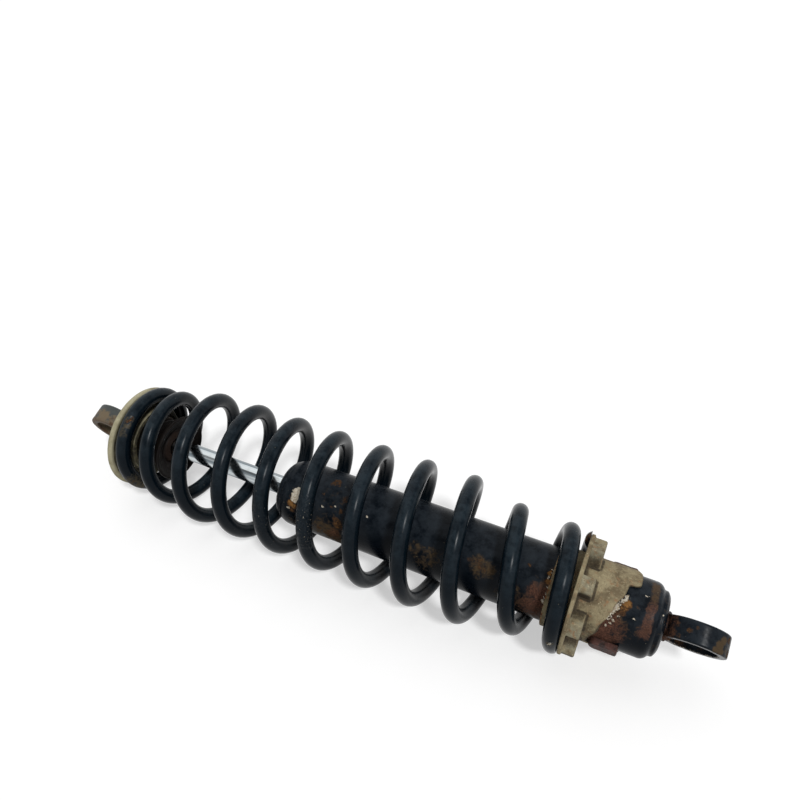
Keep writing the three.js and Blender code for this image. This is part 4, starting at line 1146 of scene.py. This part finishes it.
def mark_collar(collar, p, x, radius, angle):
    """Painted shade, partly soiling, round the lugs, under overhangs, in the bore, on the cam's cut face and on
    the lower side; and chips and rust along the collar's edges.
    """
    from_edge = x - cam_station(angle)
    from_lug = np.abs((angle - LUG_ANGLE + LUG_PITCH / 2) % LUG_PITCH - LUG_PITCH / 2)
    across = np.radians(from_lug) * radius
    facing_down = -stored(collar, "normal")[:, 2]
    edge = rise(from_edge, -1.6, 1.4)
    # The cam's cut face is darkened: painted shade.
    cut = rise(from_edge, -0.8, 0.6)
    beyond_flange = rise(x, 111.0, 0.5)
    # Darker round the lug feet and sides and by the flange: painted shade, partly soiling.
    flange_foot = fall(radius, 22.6, 2) * fall(x, 114.6, 2.5) * rise(x, 111.2, 0.4)
    lug_side = near(across, 4.7, 1.2, 1.2) * fall(radius, 27.5, 4) * fall(x, 117.8, 0.6)
    lug_foot = near(x, 117.9, 1.2, 1.2) * fall(across, 5.4, 1) * fall(radius, 20.8, 1.4)
    on_lugs = rise(radius, 21, 3) * rise(x, 111.2, 0.6)
    # The lower side and the cavity between the lower lugs are darkened, and the lugs there less grey: painted
    # shade.
    low_side = rise(-p[:, 2], 6, 14)
    cavity = rise(angle, 148, 14) * fall(angle, 215, 20) * rise(x, 111.2, 0.5)
    # Faces turned down are darkened: painted shade.
    overhang = rise(facing_down, 0.05, 0.5) * rise(radius, 19.8, 0.8)
    front_edge = edge * spots(p, EDGE_CHIPS)
    skirt_edge = fall(x, SKIRT_END + 1.6, 1.2)
    # The bore is darkened: painted shade.
    bore = fall(radius, 18.6, 0.5)
    chips = 0.7 * front_edge * rise(grain(p, 3, 45, 2), -0.4, 1)
    corners = np.maximum(0.9 * flange_foot, np.maximum(lug_side * beyond_flange, 0.9 * lug_foot))
    grime_and_shade = np.maximum(corners, 0.6 * cavity * (1 - 0.6 * on_lugs))
    # Most of the dust share here is painted shade.
    mark(
        collar,
        rust=0.4 * front_edge + 0.5 * skirt_edge * (1 + 0.5 * grain(p, 4, 44, 2)) + 0.1 * edge,
        bare=chips + 0.5 * skirt_edge * rise(grain(p, 3, 46, 2), -0.2, 1),
        dust=grime_and_shade + 0.35 * low_side + 0.5 * bore + 0.2 * edge + 0.5 * cut + 0.5 * overhang,
        tint=0.75 * on_lugs * (1 - 0.5 * low_side),
    )


def add_collar():
    """The collar that preloads the spring: flange, spanner lugs, skirt and cam."""
    flange = lathe([
        (FLANGE_FACE, 18.4, 0), (FLANGE_FACE, FLANGE_RADIUS, 0.5), (FLANGE_BACK, FLANGE_RADIUS, 0.5),
        (FLANGE_BACK, 20.6, 0.3), (112.7, 19.2, 0.3), (112.7, 18.4, 0),
    ], 1.0, 180)
    lugs = [spanner_lug(LUG_ANGLE + LUG_PITCH * k) for k in range(LUG_COUNT)]
    shells = together(collar_sleeve(), flange, *lugs)
    collar = fuse(build("preload_cam_collar", shells), SKIN_VOXEL)
    p, x, radius, angle = points_of(collar)
    uneven = 0.07 * grain(p, 1.6, 41, 3) + 0.06 * grain(p, 6, 42, 2)
    push(collar, rise(radius, 18.2, 0.6) * uneven)
    mark_collar(collar, p, x, radius, angle)
    settle(collar, "collar", "collar_cast", "preload_collar")


def stop_lug(angle):
    """A bar bent to the tube's curve, with a round nose and soft edges."""
    half = STOP_LUG_HALF_WIDTH
    nose = np.radians(np.arange(90, 271, 10))
    outline = [(half + half * math.cos(turn), half * math.sin(turn)) for turn in nose]
    outline += [(11.6, -3), (12.3, -2.7), (STOP_LUG_LENGTH, -2)]
    outline += [(STOP_LUG_LENGTH, 2), (12.3, 2.7), (11.6, 3)]
    middle = np.array([STOP_LUG_LENGTH / 2, 0])
    away = np.array(divided(np.array(outline), 0.8)) - middle
    layers = []
    for height, inset in STOP_LUG_LAYERS:
        shrunk = away * (1 - inset / np.linalg.norm(away, axis=1))[:, None] + middle
        turn = angle - np.degrees(shrunk[:, 1] / 19.45)
        layers.append(polar(STOP_LUG_STATION + shrunk[:, 0], COLLAR_BORE + height, turn))
    return swept(layers, False)


def add_stop_lug(name, node, angle):
    """A rusty bar on the tube, on which the cam rests."""
    lug = fuse(build(name, stop_lug(angle)), LUG_VOXEL)
    p, _, radius, _ = points_of(lug)
    push(lug, rise(radius, 18.1, 0.5) * (0.1 * grain(p, 1.3, angle, 3) - 0.04))
    settle(lug, "damper", "rusty_steel", node)


add_collar()
add_stop_lug("stop_lug_rusty_front", "stop_lug_front", STOP_LUG_ANGLE)
add_stop_lug("stop_lug_rusty_rear", "stop_lug_rear", STOP_LUG_ANGLE - 180)


# Floor and background

FLOOR_HALF = 4
FLOOR_BOUNCE = 0.5
FLOOR_SHOWN = 0.55
FLOOR_GLOW = 0.5
WORLD_LIGHT = 0.22
CEILING_LOW, CEILING_HIGH, CEILING_DIM = 0.45, 0.8, 0.3
WHITE = (1, 1, 1, 1)


def split_rays(tree, kind, plain, seen):
    """One shader for the light on the object, the other where rays see the background."""
    path = tree.node("LightPath")
    share = path.outputs["Is Camera Ray"]
    for name in ("Is Glossy Ray", "Is Transmission Ray"):
        share = tree.math("MAXIMUM", share, path.outputs[name])
    choice = tree.node("MixShader", {0: share, 1: plain.outputs[0], 2: seen.outputs[0]})
    tree.node(kind, {"Surface": choice.outputs[0]})


def add_floor():
    """A pale floor that shows near white and keeps the object's shadow."""
    mesh = bpy.data.meshes.new("floor")
    half = FLOOR_HALF
    corners = [(-half, -half, 0), (half, -half, 0), (half, half, 0), (-half, half, 0)]
    mesh.from_pydata(corners, [], [(0, 1, 2, 3)])
    floor = shown("floor", mesh)
    mesh.materials.append(bpy.data.materials.new("pale_floor"))
    tree = Tree(mesh.materials[0])
    tree.nodes.clear()
    plain = tree.node("BsdfDiffuse", {"Color": (*[FLOOR_BOUNCE] * 3, 1)})
    lit = tree.node("BsdfDiffuse", {"Color": (*[FLOOR_SHOWN] * 3, 1)})
    glow = tree.node("Emission", {"Color": WHITE, "Strength": FLOOR_GLOW})
    seen = tree.node("AddShader", {0: lit.outputs[0], 1: glow.outputs[0]})
    split_rays(tree, "OutputMaterial", plain, seen)


def add_world():
    """White round the object, dimmer overhead, with a plain light of its own."""
    scene.world = bpy.data.worlds.new("studio")
    tree = Tree(scene.world)
    tree.nodes.clear()
    place = tree.node("TexCoord").outputs["Generated"]
    height = tree.node("SeparateXYZ", {0: place}).outputs["Z"]
    ceiling = tree.span(height, CEILING_LOW, CEILING_HIGH, 1, CEILING_DIM)
    plain = tree.node("Background", {"Color": WHITE, "Strength": WORLD_LIGHT})
    seen = tree.node("Background", {"Color": WHITE, "Strength": ceiling})
    split_rays(tree, "OutputWorld", plain, seen)


add_floor()
add_world()


# Lamps and camera

LENS = 31.17
SENSOR_WIDTH = 36
CLIP_START = 0.01
CAMERA_PLACE = (0.1194, -0.2080, 0.3047)
CAMERA_WAY = (-0.33068, 0.69940, -0.63363)


def add_sun(name, way, spread, strength):
    """An even light from a direction, spread over some degrees."""
    light = bpy.data.lights.new(name, "SUN")
    light.angle = math.radians(spread)
    light.energy = strength
    lamp = shown(name, light)
    lamp.rotation_euler = (-Vector(way)).to_track_quat("-Z", "Y").to_euler()


def add_camera():
    """The camera, at the photograph's viewing angle."""
    view = bpy.data.cameras.new("camera")
    view.lens = LENS
    view.sensor_width = SENSOR_WIDTH
    view.clip_start = CLIP_START
    camera = shown("camera", view)
    camera.location = CAMERA_PLACE
    camera.rotation_euler = Vector(CAMERA_WAY).to_track_quat("-Z", "Y").to_euler()
    scene.camera = camera


add_sun("key", (0.42, -0.40, 0.815), 8, 2.0)
add_sun("overhead", (-0.3, 0.3, 0.9), 70, 0.9)
add_camera()
scene.view_settings.view_transform = "Standard"
